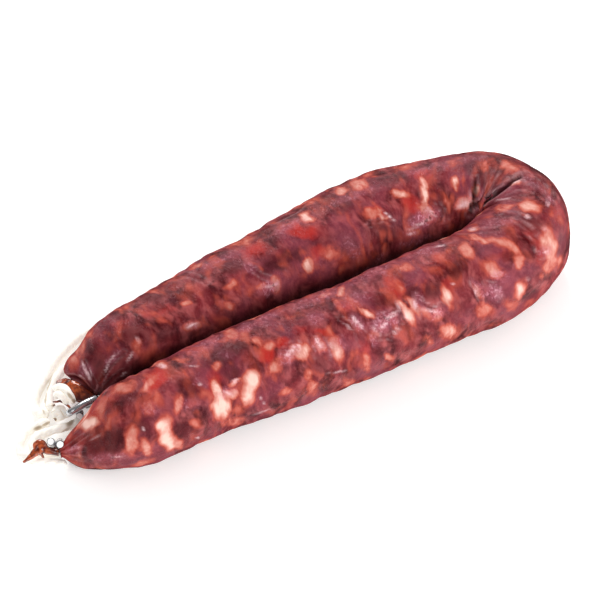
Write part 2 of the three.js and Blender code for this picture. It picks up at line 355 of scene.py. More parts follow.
# The cotton string: three soft plies laid round each other, along the CAD's own routes.
string = {
    "radius": 1.4,
    "plies": 3,
    "plyPitch": 9.0,
    "plyDepth": 0.13,
    "sides": 36,
    "ringsPerMillimetre": 4,
    "slub": 0.06,
    "slubWaves": (0.9, 0.37),
    "tipShare": 0.35,
    "tipLength": 1.2,
    "pathSteps": 160,
}

hangingLoop = [
    (-88.6, 3, 3.8), (-90.6, 5.9, 2.3), (-90.7, 9.2, 1.6), (-89.4, 12, 1.6), (-87.6, 14.4, 1.6),
    (-85, 17, 1.6), (-82, 19.8, 1.6), (-79, 22.7, 1.6), (-75.4, 25.4, 1.6), (-71, 28.1, 1.6),
    (-65.8, 30.4, 1.6), (-60.4, 31, 1.6), (-56.2, 29.2, 1.6), (-54.6, 25.6, 1.6), (-56.6, 22.1, 1.6),
    (-61, 20.6, 1.6), (-66.8, 20.4, 1.6), (-72.2, 20.8, 1.6), (-76.4, 19.9, 1.6), (-79.4, 17.9, 1.6),
    (-82.2, 15.2, 1.7), (-84.6, 11.6, 2.1), (-86.4, 8.2, 2.9), (-86.9, 5.4, 4), (-86.6, 4.3, 4.8),
]

outerStrand = [
    (-89.7, -0.5, 4.6), (-91.9, 0.7, 3.1), (-94.2, 1.5, 2), (-96.9, 1.1, 1.6), (-99.4, -0.8, 1.6),
    (-101, -3.6, 1.6), (-101, -6.8, 1.6), (-99.3, -9.9, 1.6), (-96.6, -12.4, 1.6),
    (-92.8, -14.8, 1.5), (-91, -16.1, 1.5),
]

innerStrand = [
    (-79.4, -1.4, 1.7), (-82, -3, 2.6), (-84.4, -4.5, 3.8), (-86.7, -4.9, 4.6),
    (-88.9, -4.3, 4.3), (-91.2, -3.4, 3.5), (-93.6, -2.6, 2.4), (-96, -3, 1.7),
    (-97.3, -4.8, 1.6), (-97.2, -6.9, 1.6), (-95.9, -8.6, 1.6), (-93.8, -9.8, 1.6),
    (-90.6, -10.9, 1.6),
]


def plied(radius, route, seed):
    total = lengthOf(route)

    def reachOf(share, turn):
        laid = turn - share * total / string["plyPitch"] * fullTurn
        ply = np.abs(np.sin(laid * string["plies"] / 2))
        quick, slow = string["slubWaves"]
        slubs = np.sin(share * total * quick + seed) * np.sin(share * total * slow + seed * 2)
        fromEnd = np.minimum(share, 1 - share) * total
        tip = np.minimum(1.0, string["tipShare"] + fromEnd / string["tipLength"])
        depth = string["plyDepth"]
        reach = radius * (1 - depth + depth * ply + string["slub"] * slubs) * tip
        return reach, reach

    return reachOf


def addCord(name, node, points, seed):
    route = measuredRoute(points)
    rings = int(lengthOf(route) * string["ringsPerMillimetre"])
    piece = routedTube(name, route, rings, string["sides"], plied(string["radius"], route, seed))
    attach(piece, "root")
    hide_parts(node)
    return piece


stringPieces = [
    addCord("hanging_loop", "string_hanging_loop", hangingLoop, 1.0),
    addCord("tie_outer", "string_tie_outer", outerStrand, 2.0),
    addCord("tie_inner", "string_tie_inner", innerStrand, 3.0),
]
print("cords laid")

# The knot: three turns crossing over each other in a small lump.
knot = {
    "radius": 1.12,
    "rings": 60,
    "seed": 4.0,
    "routes": [
        [(-87.8, 1.3, 5.0), (-86.9, 0.2, 6.7), (-85.4, -0.6, 6.8), (-84.5, -1.1, 5.6), (-85.0, -1.3, 4.4)],
        [(-87.5, -1.0, 4.6), (-87.4, 0.3, 6.0), (-86.2, 1.4, 6.5), (-84.9, 1.3, 5.9), (-84.6, 0.3, 4.6)],
        [(-87.7, 0.0, 4.4), (-86.8, -1.2, 5.2), (-85.6, -1.2, 5.6), (-84.7, 0.2, 5.2), (-85.8, 1.1, 4.3)],
    ],
}

# Two turns of string, side by side, cross the casing behind the back clip.
neckWrap = {
    "route": [(-82.9, -1.7, 10), (-83.1, -1, 11.4), (-83.5, 0.3, 12.7), (-84, 2, 12.8),
              (-84.6, 3.6, 11.6), (-85.1, 4.7, 9.7)],
    "upright": (-0.6, -0.1, 0.8),
    "radius": 1.15,
    "apart": 1.12,
    "stations": 9,
    "rings": 60,
    "seed": 8.0,
}


def joined(name, pieces):
    bpy.ops.object.select_all(action="DESELECT")
    for piece in pieces:
        piece.select_set(True)
    bpy.context.view_layer.objects.active = pieces[0]
    bpy.ops.object.join()
    pieces[0].name = name
    pieces[0].data.name = name
    return pieces[0]


def addKnot():
    parts = []
    for i, points in enumerate(knot["routes"]):
        route = measuredRoute(points)
        reachOf = plied(knot["radius"], route, i + knot["seed"])
        parts.append(routedTube(f"knot_turn_{i}", route, knot["rings"], string["sides"], reachOf))
    piece = joined("knot", parts)
    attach(piece, "root")
    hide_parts("string_knot")
    return piece


def addNeckWrap():
    middle = measuredRoute(neckWrap["route"])
    steps = np.linspace(0.0, lengthOf(middle), neckWrap["stations"])
    centre = placeOn(middle, steps)
    across = unit(np.cross(aheadOn(middle, steps), np.array(neckWrap["upright"])))
    parts = []
    for i, side in enumerate((-1, 1)):
        route = measuredRoute(centre + across * side * neckWrap["apart"])
        reachOf = plied(neckWrap["radius"], route, i + neckWrap["seed"])
        parts.append(routedTube(f"wrap_turn_{i}", route, neckWrap["rings"], string["sides"], reachOf))
    piece = joined("neck_wrap", parts)
    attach(piece, "root")
    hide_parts("string_neck_wrap")
    return piece


stringPieces.append(addKnot())
stringPieces.append(addNeckWrap())
print("knot and wrap tied")

# The sausage, built by the CAD's own rules and then given its lumps, creases and pleats.
sausage = {
    "route": [
        (-91.2, -14.7), (-86.8, -15.6), (-79, -17.9), (-66, -20.5), (-45, -18.7), (-22, -19),
        (0, -19.4), (20, -19), (38, -17.9), (52, -17.9), (62.3, -15.1), (70.5, -9.3),
        (73.7, -0.4), (70.3, 7.6), (62, 12.5), (50, 16.1), (30, 18.3), (6, 15.7),
        (-20, 13.5), (-45, 10.1), (-60, 8), (-70, 8.3), (-80, 11.2),
    ],
    "girth": [(20, 13.6), (45, 14.1), (80, 15.2), (130, 15.9), (160, 16.5), (185, 17.5),
              (210, 16.8), (240, 16.3), (275, 14.4), (305, 13), (335, 12.4)],
    "frontCap": 26,
    "frontCone": 0.73,
    "backCap": 24,
    "neckRadius": 1.35,
    "frontTipHeight": 5.6,
    "backTipHeight": 8,
    "flatFoot": 0.45,
    "grooveStart": (-85, -6.2),
    "grooveMiddle": (-20, -2.6),
    "grooveEnd": (56.5, -0.8),
    "grooveHalf": 0.55,
    "creaseSoft": 1.2,
    "bunching": 0.075,
    "pleat": {"count": 9, "depth": 0.16, "reach": 5},
    "neckPull": {"length": 0.9, "fade": 3.0},
    "endGaps": (0.01, 0.3),
    "heightSoft": 1.5,
    "rings": 460,
    "sides": 144,
}

# The far end's casing is drawn in pleats towards one place, under its clip.
gather = {
    "place": (-74.6, -1.7, 9.4),
    "onlyBefore": -60,
    "reach": 14,
    "pull": 0.72,
    "pleats": 9,
    "depth": 0.35,
    "lean": 0.7,
}


# Under a crease, the far end is tucked in behind this leaning plane.
tuck = {
    "place": (-79.4, 9.85, 9.5),
    "outward": (-0.72, -0.26, -0.643),
    "onlyBefore": -60,
    "soft": 1.2,
    "depth": 4,
}


def tuckIn(places, applies):
    outward = np.array(tuck["outward"])
    beyond = (places - np.array(tuck["place"])) @ outward
    kept = smoothMin(beyond, 0.0, tuck["soft"])
    moved = applies & (places[:, 0] <= tuck["onlyBefore"]) & (beyond > -tuck["depth"] * tuck["soft"])
    return places + outward * np.where(moved, kept - beyond, 0.0)[:, None]


def grooveDistance(x, y):
    start, middle, end = (sausage[key] for key in ("grooveStart", "grooveMiddle", "grooveEnd"))
    front = start[1] + (x - start[0]) / (middle[0] - start[0]) * (middle[1] - start[1])
    back = middle[1] + (x - middle[0]) / (end[0] - middle[0]) * (end[1] - middle[1])
    beside = np.abs(y - np.where(x < middle[0], front, back))
    return np.where(x >= end[0], np.hypot(x - end[0], y - end[1]), beside)


def gatherIn(places):
    away = places - np.array(gather["place"])
    far = np.linalg.norm(away, axis=1)
    pulled = (far <= gather["reach"]) & (places[:, 0] <= gather["onlyBefore"])
    near = np.clip(1 - far / gather["reach"], 0.0, 1.0)
    around = np.arctan2(away[:, 2], (away[:, 0] - away[:, 1]) * gather["lean"])
    fold = 1 + gather["depth"] * np.cos(around * gather["pleats"]) * near
    weight = np.where(pulled, gather["pull"] * near * near * fold, 0.0)
    return places - away * weight[:, None]


def sausagePlaces(share, turn):
    route = measuredRoute(sausage["route"])
    total = lengthOf(route)
    inner, stillOpen = cappedShare(share, sausage["rings"])
    bunched = inner - np.sin(inner * fullTurn) * sausage["bunching"]
    startGap, endGap = sausage["endGaps"]
    distance = np.clip(bunched * total, startGap, total - endGap)
    centre = placeOn(route, distance)
    ahead = aheadOn(route, distance)
    left = np.stack([-ahead[:, 1], ahead[:, 0], np.zeros(len(ahead))], axis=-1)
    front = np.minimum(distance / sausage["frontCap"], 1.0)
    back = np.minimum((total - distance) / sausage["backCap"], 1.0)
    body = alongStations(sausage["girth"], distance)
    frontRound = (1 - (1 - front) ** 2) ** sausage["frontCone"]
    backRound = np.sqrt(np.maximum(0, 1 - (1 - back) ** 2))
    plain = body * frontRound * backRound
    atFront = distance < total / 2
    radius = np.where(atFront, np.maximum(plain, sausage["neckRadius"]), plain)
    tipHeight = np.where(atFront, sausage["frontTipHeight"], sausage["backTipHeight"])
    height = smoothMax(radius - sausage["flatFoot"], tipHeight, sausage["heightSoft"])
    pleat = sausage["pleat"]
    folded = 1 + pleat["depth"] * np.exp(-distance / pleat["reach"]) * np.cos(turn * pleat["count"])
    reach = radius * folded * stillOpen
    space = grooveDistance(centre[:, 0], centre[:, 1]) - sausage["grooveHalf"]
    sideways = np.cos(turn) * reach
    pressed = smoothMin(sideways, space, sausage["creaseSoft"])
    sideways = np.where(sideways > 0, np.minimum(sideways, np.maximum(pressed, 0.0)), sideways)
    neck = sausage["neckPull"]
    drawnOut = neck["length"] * np.exp(-distance / neck["fade"])
    places = centre + left * sideways[:, None] - ahead * drawnOut[:, None]
    places[:, 2] = height + np.sin(turn) * reach
    places = tuckIn(places, ~atFront)
    places = gatherIn(places)
    places[:, 2] = np.maximum(places[:, 2], 0.0)
    straight = np.stack([np.cos(turn) * reach, np.sin(turn) * reach, distance], axis=-1)
    return places, straight


def addSausage():
    piece = wrappedTube("sausage_skin", sausage["rings"], sausage["sides"], sausagePlaces)
    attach(piece, "root")
    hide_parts("sausage")
    return piece


meat = addSausage()
print("sausage wrapped", len(meat.data.vertices), "points")

# Relief of the meat under its casing: slow swells, coarse pieces and fine grain.
relief = {
    "swell": {"size": (13.0, 13.0, 16.0), "height": 0.6, "seed": 1},
    "pieces": {"size": (5.2, 5.2, 3.6), "height": 0.5, "seed": 2},
    "grain": {"size": (1.9, 1.9, 1.9), "height": 0.07, "seed": 3},
}
reliefFades = {"fromMiddle": (2.0, 10.0), "fromGround": (0.2, 2.5)}


def addRelief(piece):
    straight = straightPlaces(piece)
    amounts = np.zeros(len(straight))
    for layer in relief.values():
        amounts += noiseOver(straight, layer["size"], layer["seed"]) * layer["height"]
    full = smoothStep(*reliefFades["fromMiddle"], np.hypot(straight[:, 0], straight[:, 1]))
    low = smoothStep(*reliefFades["fromGround"], readPlaces(piece.data)[:, 2] * metre)
    pushOut(piece, amounts * full * low)


addRelief(meat)
print("relief raised")


# The photograph's pixels, as rays from the camera and as places in its picture.
halfPicture = photoCamera["pixels"] / 2
pixelReach = photoCamera["lens"] / photoCamera["sensor"] * photoCamera["pixels"]


def pixelRay(x, y):
    local = Vector(((x - halfPicture) / pixelReach, (halfPicture - y) / pixelReach, -1.0))
    return (camera.matrix_world.to_quaternion() @ local).normalized()


def toPixels(places):
    turn = np.array(camera.matrix_world.to_3x3())
    right, up, behind = ((places - np.array(camera.location)) @ turn).T
    return np.stack([halfPicture - pixelReach * right / behind,
                     halfPicture + pixelReach * up / behind], axis=-1)


# Marks on the side that the photograph shows. Each is a middle in its pixels, a half length
# and half width, the lean of the length in degrees, downward to the right, and a strength.
fatPieces = [
    (88, 424, 10, 6, -15, 1.0), (85, 413, 9, 4, -25, 0.4), (78, 452, 7, 3, 100, 0.45),
    (218, 391, 9, 5, 80, 0.95), (222, 406, 11, 8, 90, 1.05), (251, 380, 10, 7, 110, 1.05),
    (246, 394, 7, 6, 100, 0.9), (163, 425, 9, 6, 80, 0.95), (168, 440, 10, 8, 60, 0.95),
    (72, 362, 8, 6, 100, 0.4), (133, 436, 11, 6, 85, 0.7), (124, 387, 13, 6, -20, 0.45),
    (549, 248, 18, 6, 78, 0.8), (512, 248, 12, 4, 35, 0.65), (520, 262, 8, 4, 95, 0.65),
    (520, 290, 10, 5, 105, 0.85), (530, 206, 12, 5, 8, 0.65), (494, 270, 11, 6, 40, 0.7),
    (148, 385, 12, 3, -50, 0.55), (303, 352, 9, 7, 80, 0.8), (268, 345, 7, 5, 0, 0.5),
    (130, 442, 12, 5, 85, 0.8), (146, 447, 8, 5, 70, 0.7), (166, 431, 14, 6, 95, 0.9),
    (174, 445, 8, 5, 0, 0.7), (143, 463, 14, 3, -15, 0.4), (148, 406, 9, 6, 90, 0.5),
    (178, 404, 9, 4, 110, 0.65), (124, 388, 10, 6, -20, 0.45), (163, 365, 6, 4, 20, 0.55),
    (180, 360, 8, 3, 10, 0.4), (215, 386, 8, 4, 80, 0.75), (220, 404, 13, 7, 95, 1.0),
    (232, 394, 9, 5, -30, 0.8), (250, 388, 15, 7, 105, 1.0), (236, 382, 6, 3, -30, 0.6),
    (196, 424, 6, 5, 20, 0.5), (232, 422, 12, 4, -15, 0.4), (216, 366, 5, 4, 60, 0.4),
    (258, 343, 6, 4, 40, 0.6), (231, 333, 8, 5, -10, 0.5), (275, 368, 9, 5, -50, 0.55),
    (291, 353, 9, 6, -45, 0.8), (302, 352, 8, 5, 100, 0.85), (318, 344, 8, 6, 60, 0.65),
    (337, 350, 12, 5, 75, 0.85), (285, 392, 7, 3, -20, 0.45), (312, 388, 8, 5, 100, 0.55),
    (309, 375, 6, 4, 90, 0.45), (365, 312, 9, 3, 35, 0.85), (350, 385, 5, 5, 0, 0.5),
    (366, 361, 10, 4, 85, 0.5), (389, 357, 5, 4, 20, 0.65), (405, 311, 14, 3, 58, 0.95),
    (413, 306, 11, 3, 58, 0.75), (424, 311, 9, 3, 55, 0.5), (437, 314, 7, 6, -30, 0.5),
    (447, 297, 11, 4, 70, 0.85), (448, 331, 7, 7, 0, 0.7), (341, 292, 5, 4, 90, 0.65),
    (325, 295, 6, 3, -20, 0.5), (340, 306, 9, 4, 60, 0.4), (405, 268, 11, 5, -10, 0.4),
    (399, 285, 10, 4, 60, 0.45), (466, 250, 9, 6, 50, 0.6), (480, 239, 14, 3, 15, 0.55),
    (473, 229, 7, 2, -5, 0.5), (503, 243, 14, 4, 20, 0.55), (505, 208, 10, 3, -10, 0.45),
    (527, 207, 9, 5, 10, 0.65), (551, 244, 14, 5, 80, 0.8), (548, 268, 8, 5, 100, 0.55),
    (518, 262, 8, 4, 80, 0.6), (520, 290, 9, 5, 110, 0.8), (496, 271, 10, 6, 30, 0.65),
    (478, 292, 10, 3, 60, 0.5), (485, 311, 8, 6, 0, 0.5), (530, 305, 9, 4, -35, 0.4),
    (560, 262, 6, 4, 100, 0.5), (427, 340, 5, 4, 0, 0.4), (477, 189, 6, 3, 85, 0.85),
    (455, 183, 7, 4, 90, 0.8), (464, 203, 9, 6, -30, 0.8), (516, 182, 5, 2, -30, 0.8),
    (510, 168, 10, 6, 10, 0.5), (484, 165, 8, 6, 0, 0.4), (455, 163, 8, 4, -30, 0.45),
    (424, 192, 15, 4, 85, 0.9), (427, 212, 10, 7, 60, 0.6), (412, 232, 8, 5, 0, 0.4),
    (400, 194, 8, 4, 5, 0.8), (373, 213, 10, 5, 0, 0.55), (383, 216, 8, 2, 25, 0.6),
    (358, 184, 9, 6, 0, 0.55), (342, 191, 6, 4, -20, 0.65), (307, 217, 8, 4, 20, 0.95),
    (308, 265, 7, 5, 80, 0.8), (330, 253, 9, 7, 0, 0.5), (276, 285, 8, 5, 100, 0.6),
    (262, 286, 6, 4, -20, 0.55), (306, 202, 9, 4, -10, 0.45), (192, 326, 9, 5, -20, 0.6),
    (186, 303, 6, 3, 0, 0.5), (229, 305, 6, 4, 30, 0.5), (232, 285, 8, 4, -20, 0.45),
    (137, 346, 8, 5, 80, 0.45), (81, 347, 9, 5, 110, 0.6), (195, 266, 8, 3, -20, 0.45),
    (240, 242, 12, 6, -15, 0.4), (366, 174, 10, 4, -20, 0.4), (405, 165, 12, 4, -10, 0.35),
]
redPieces = [
    (156, 379, 15, 9, -40, 1.1), (88, 420, 17, 11, -20, 0.7), (68, 452, 9, 8, 0, 0.8),
    (84, 440, 18, 12, -30, 0.5), (215, 384, 8, 16, 0, 0.7), (74, 366, 8, 10, 0, 0.4),
    (267, 354, 11, 8, 60, 1.1), (282, 343, 8, 6, 0, 0.8), (325, 333, 12, 4, 15, 0.7),
    (300, 330, 10, 5, 0, 0.5), (100, 405, 14, 8, -30, 0.5), (68, 440, 10, 4, -50, 0.6),
    (256, 250, 13, 8, 0, 0.8), (303, 232, 18, 7, 10, 0.8), (318, 252, 9, 8, 0, 0.7),
    (412, 205, 14, 8, 30, 0.8), (421, 175, 14, 7, 0, 0.5), (375, 212, 12, 6, 0, 0.6),
    (395, 285, 15, 9, 50, 0.7), (440, 265, 12, 10, 0, 0.4), (448, 285, 9, 6, 60, 0.6),
    (505, 255, 10, 6, 20, 0.5), (540, 250, 6, 16, 0, 0.6), (560, 215, 8, 20, 0, 0.35),
    (410, 198, 12, 5, 20, 0.6), (118, 395, 12, 6, -30, 0.4), (213, 375, 6, 12, 0, 0.4),
    (180, 350, 25, 6, -25, 0.3), (365, 350, 8, 10, 0, 0.5), (345, 305, 10, 7, 0, 0.5),
    (120, 325, 14, 6, -25, 0.4), (94, 447, 24, 14, -15, 0.35), (532, 234, 9, 12, -20, 0.5),
    (105, 345, 20, 12, -30, 0.3), (160, 310, 22, 7, -20, 0.4),
]
# Dark marks: partly darker meat, partly painted shade in creases and on sides turned from the light.
darkMeatAndShade = [
    (105, 442, 24, 14, -15, 0.75), (84, 452, 14, 8, 0, 0.5), (485, 165, 32, 10, -5, 0.75),
    (490, 184, 12, 10, 0, 0.6), (130, 332, 30, 12, -25, 0.55), (120, 402, 24, 8, -30, 0.5),
    (534, 224, 11, 4, 28, 0.55), (475, 195, 2, 13, 0, 1.0), (528, 246, 8, 14, -10, 0.35),
    (471, 209, 2, 6, 20, 1.0), (506, 256, 9, 6, 20, 0.6), (100, 345, 16, 12, -30, 0.5),
    (150, 330, 20, 8, -25, 0.5), (262, 236, 22, 7, -25, 0.35), (455, 274, 8, 8, 0, 0.8),
    (390, 300, 10, 6, 0, 0.5), (413, 292, 7, 8, 20, 0.7), (190, 388, 14, 12, 0, 0.7),
    (230, 370, 18, 10, 60, 0.7), (235, 345, 16, 10, 0, 0.2), (180, 432, 10, 12, 0, 0.7),
    (157, 403, 6, 8, 0, 0.5), (140, 425, 10, 9, 0, 0.6), (320, 365, 10, 10, 0, 0.4),
    (345, 320, 12, 10, 0, 0.6), (380, 300, 12, 8, 0, 0.6), (430, 290, 12, 9, 0, 0.7),
    (455, 270, 9, 9, 0, 0.7), (385, 235, 14, 16, 0, 0.7), (350, 250, 14, 14, 0, 0.6),
    (445, 205, 14, 14, 60, 0.7), (335, 205, 22, 10, 0, 0.6), (390, 180, 16, 6, -15, 0.6),
    (265, 232, 9, 9, 0, 0.6), (232, 267, 12, 9, 0, 0.6), (215, 290, 12, 6, 0, 0.4),
    (155, 297, 28, 5, -10, 0.5), (105, 355, 24, 18, 0, 0.5), (155, 335, 24, 10, -25, 0.5),
    (495, 180, 18, 10, -20, 0.5), (530, 225, 16, 10, 25, 0.5), (528, 245, 10, 12, 0, 0.35),
    (226, 354, 30, 10, -25, 0.75), (280, 262, 28, 10, -25, 0.8), (500, 167, 24, 7, -5, 0.85),
    (330, 240, 20, 8, -20, 0.35), (450, 310, 12, 10, 0, 0.4), (325, 285, 30, 5, -22, 0.4),
    (490, 245, 14, 5, 20, 0.4), (285, 265, 14, 8, 0, 0.4),
]
# Film patches: the casing film's pale pink, partly its own colour and partly a painted sheen.
filmAndSheenPatches = [
    (205, 345, 24, 6, -27, 0.4), (258, 322, 28, 6, -25, 0.5), (318, 297, 28, 6, -22, 0.5),
    (372, 273, 26, 6, -24, 0.5), (425, 250, 24, 6, -18, 0.5), (355, 300, 20, 8, -20, 0.35),
    (215, 262, 26, 4, -24, 0.35), (290, 226, 26, 4, -26, 0.35), (352, 196, 26, 4, -20, 0.4),
    (430, 168, 24, 4, -12, 0.35), (535, 185, 16, 5, 35, 0.35), (500, 222, 20, 5, -5, 0.35),
    (385, 322, 16, 9, -25, 1.0), (358, 323, 10, 6, 45, 0.8), (374, 340, 8, 4, 80, 0.6),
    (290, 354, 12, 7, -40, 0.8), (318, 345, 8, 7, 60, 0.6), (228, 392, 9, 5, -20, 0.5),
    (425, 218, 16, 8, -25, 1.0), (410, 234, 7, 5, 0, 0.7), (465, 202, 9, 6, -30, 0.6),
    (270, 288, 12, 7, -20, 0.9), (437, 312, 10, 6, -20, 0.8), (420, 302, 10, 5, 55, 0.6),
    (493, 292, 9, 7, 30, 0.8), (478, 288, 12, 4, 60, 0.7), (500, 275, 10, 6, 30, 0.6),
    (545, 252, 6, 6, 0, 0.5), (340, 345, 8, 8, 60, 0.4), (315, 318, 10, 6, 0, 0.5),
    (86, 370, 7, 8, 60, 0.7), (112, 360, 10, 4, -50, 0.8), (192, 326, 7, 5, -20, 0.7),
    (226, 355, 8, 5, 0, 0.25), (150, 408, 8, 6, 0, 0.4), (190, 405, 10, 6, 0, 0.4),
    (200, 383, 6, 5, 0, 0.4), (73, 450, 9, 5, -10, 0.7), (250, 268, 8, 6, 0, 0.4),
    (470, 158, 20, 4, 0, 0.3), (352, 250, 14, 6, 60, 0.4), (380, 260, 9, 4, -40, 0.5),
    (110, 457, 20, 5, 0, 0.4), (415, 242, 18, 4, -15, 0.5), (550, 200, 5, 5, 0, 0.5),
]


# Painted highlights where wet wrinkles shine.
glintMarks = [
    (84, 367, 6, 1.0, 75, 0.8), (88, 375, 6, 1.2, 65, 0.9), (91, 372, 4, 0.8, 80, 0.6),
    (82, 377, 4, 0.8, 40, 0.6), (107, 367, 7, 1.0, 112, 0.8), (112, 358, 5, 1.2, 128, 0.7),
    (130, 357, 6, 1.2, 120, 0.5), (124, 374, 3, 0.8, -40, 0.5), (162, 366, 5, 2.2, 10, 0.6),
    (138, 340, 4, 1.5, 60, 0.3), (197.5, 438, 1.2, 1.2, 0, 1.0), (143, 429, 1.5, 1.5, 0, 0.7),
    (76, 448, 7, 1.0, -25, 0.15), (96, 437, 7, 0.8, -28, 0.3), (118, 457, 6, 0.8, -5, 0.4),
    (200, 384, 2, 1.5, 0, 0.5), (193, 366, 5, 1.0, 0, 0.4), (483, 207, 4, 0.8, -28, 0.7),
    (491, 195, 7, 0.9, -48, 0.6), (517, 181, 4, 1.4, -30, 0.9), (526, 216, 8, 0.9, 15, 0.6),
    (538, 221, 5, 0.8, 30, 0.4), (545, 229, 6, 1.0, 60, 0.3), (473, 229, 4, 1.4, -5, 0.7),
    (474, 289, 8, 1.0, 62, 0.8), (456.5, 240, 1.0, 1.0, 0, 0.9), (454, 284, 1.6, 1.4, 0, 0.7),
    (403, 312, 12, 1.4, 57, 0.5), (416, 306, 9, 1.4, 57, 0.6), (431, 311, 7, 1.6, 10, 0.6),
    (436, 306, 4, 1.0, -45, 0.6), (391, 316, 7, 1.6, -35, 0.9), (384, 325, 6, 1.4, -50, 0.8),
    (377, 331, 6, 1.2, 60, 0.7), (396, 331, 5, 1.2, -60, 0.6), (357, 322, 8, 1.4, 50, 0.8),
    (349, 327, 5, 1.2, 45, 0.6), (420, 224, 12, 1.2, -28, 0.6), (432, 213, 8, 1.0, 45, 0.5),
    (411, 233, 4, 1.2, -30, 0.6), (463, 205, 7, 2.0, -28, 0.6), (545, 252, 4, 1.0, 20, 0.6),
    (389, 216, 8, 1.0, 40, 0.8), (290, 352, 7, 1.4, -45, 0.8), (299, 346, 5, 1.2, 100, 0.7),
    (318, 342, 6, 1.6, 70, 0.7), (331, 349, 7, 1.0, 85, 0.5), (235, 381, 4, 1.5, -30, 0.7),
    (228, 393, 6, 1.2, 20, 0.5), (192, 325, 5, 1.4, -30, 0.8), (270, 286, 6, 1.2, -20, 0.6),
    (337, 372, 9, 0.7, -8, 0.5), (262, 400, 7, 0.7, 60, 0.4), (262, 412, 9, 0.7, -20, 0.4),
    (525, 276, 5, 0.8, 50, 0.5), (512, 290, 6, 1.2, 70, 0.5), (504, 199, 9, 0.7, -12, 0.4),
    (548, 203, 3, 1.5, 60, 0.5), (440, 246, 6, 0.9, -10, 0.5),
]


# The marks' edges wander by a few pixels.
wander = {"size": (3.2, 3.2, 2.4), "reach": 3.4, "seeds": (21, 22)}


# How much larger than listed each kind of mark is drawn. A mark is full up to one share of its
# half sizes and gone at another, and points beyond its reach aren't looked at.
markStretch = {"fatMark": 1.15, "redMark": 1.1, "darkAndShadeMark": 1.1, "filmAndSheenMark": 1.0}
markFade = {"full": 0.35, "gone": 1.45, "reach": 3.0, "spare": 0.004}


def markedAmounts(tree, places, pixels, marks, stretch=1.0):
    amounts = np.zeros(len(places))
    start = camera.location
    for x, y, halfLength, halfWidth, lean, strength in marks:
        hit = tree.ray_cast(start, pixelRay(x, y))[0]
        if hit is None:
            continue
        scale = (hit - start).length * photoCamera["sensor"] / photoCamera["lens"] / photoCamera["pixels"]
        reach = markFade["reach"] * halfLength * scale + markFade["spare"]
        near = np.linalg.norm(places - np.array(hit), axis=1) < reach
        away = pixels[near] - np.array([x, y])
        angle = math.radians(lean)
        along = (away[:, 0] * math.cos(angle) + away[:, 1] * math.sin(angle)) / (halfLength * stretch)
        across = (away[:, 1] * math.cos(angle) - away[:, 0] * math.sin(angle)) / (halfWidth * stretch)
        far = np.hypot(along, across)
        mark = strength * (1 - smoothStep(markFade["full"], markFade["gone"], far))
        amounts[near] = np.maximum(amounts[near], mark)
    return amounts


# Folds in the casing, each with a half width in pixels, a depth in millimetres and a line in
# the photograph's pixels.
folds = [
    (2.2, 1.5, [(472, 208), (480, 203), (492, 196), (503, 188), (513, 180), (524, 174)]),
    (2.3, 2.0, [(469, 214), (472, 207), (474, 198), (475, 188), (475, 178)]),
    (1.8, 0.35, [(478, 206), (487, 190), (494, 176), (500, 164)]),
    (1.6, 0.3, [(483, 204), (497, 186), (508, 172)]),
    (1.6, 0.25, [(484, 198), (488, 184), (489, 170)]),
    (2.0, 0.3, [(520, 178), (533, 180), (545, 188), (556, 200)]),
    (2.2, 0.3, [(512, 187), (528, 187), (542, 194)]),
    (2.0, 0.2, [(500, 198), (518, 197), (535, 201)]),
    (2.2, 0.45, [(505, 214), (520, 216), (534, 222), (545, 232)]),
    (2.5, 0.45, [(518, 220), (530, 230), (538, 243), (541, 256)]),
    (1.6, 0.2, [(455, 232), (475, 231), (500, 229)]),
    (1.6, 0.25, [(420, 248), (436, 243), (452, 240)]),
    (1.6, 0.4, [(485, 283), (492, 284), (499, 290), (500, 300)]),
    (1.6, 0.4, [(470, 280), (477, 290), (482, 302)]),
    (1.8, 0.45, [(417, 296), (423, 304), (432, 308), (442, 304)]),
    (1.5, 0.4, [(408, 300), (416, 308), (424, 320)]),
    (1.8, 0.4, [(340, 318), (350, 324), (356, 332), (360, 344)]),
    (1.6, 0.4, [(368, 330), (378, 338), (390, 337), (398, 328), (401, 318)]),
    (1.5, 0.35, [(372, 326), (382, 316), (392, 310), (400, 312)]),
    (1.6, 0.35, [(282, 352), (290, 344), (298, 340)]),
    (1.6, 0.35, [(310, 338), (312, 348), (316, 356)]),
    (1.6, 0.35, [(328, 338), (332, 348), (331, 358)]),
    (2.0, 0.9, [(66, 377), (74, 377), (81, 381), (87, 388), (97, 397)]),
    (1.8, 0.5, [(98, 396), (100, 384), (105, 372), (114, 360), (124, 352)]),
    (1.8, 0.45, [(97, 394), (94, 382), (88, 372), (84, 362)]),
    (1.8, 0.4, [(99, 397), (106, 386), (116, 376), (128, 368)]),
    (1.5, 0.3, [(95, 392), (89, 384), (80, 374)]),
    (1.6, 0.3, [(61, 452), (70, 446), (82, 437), (92, 432)]),
    (1.6, 0.3, [(61, 453), (72, 452), (84, 449)]),
    (1.6, 0.3, [(61, 454), (72, 457), (84, 459)]),
    (1.8, 0.3, [(252, 268), (262, 276), (276, 280)]),
    (2.0, 0.4, [(303, 204), (296, 210), (284, 216), (272, 222)]),
    (2.0, 0.3, [(182, 274), (194, 276), (206, 282)]),
    (1.6, 0.35, [(436, 200), (444, 212), (448, 224)]),
    (1.6, 0.35, [(366, 228), (372, 222), (384, 219), (392, 224)]),
    (1.6, 0.3, [(416, 190), (421, 200), (418, 210)]),
]

# A fold is shallower at its ends and raises the skin beside it, where a painted highlight runs along a thin
# lip.
foldShape = {"raised": 0.2, "raisedAt": 2.2, "raisedHalf": 1.1, "endShare": 0.3, "taper": 7.0,
             "spare": 0.006}
foldLipHighlight = {"beside": 1.5, "half": 0.45, "strength": 0.35, "most": 0.2}


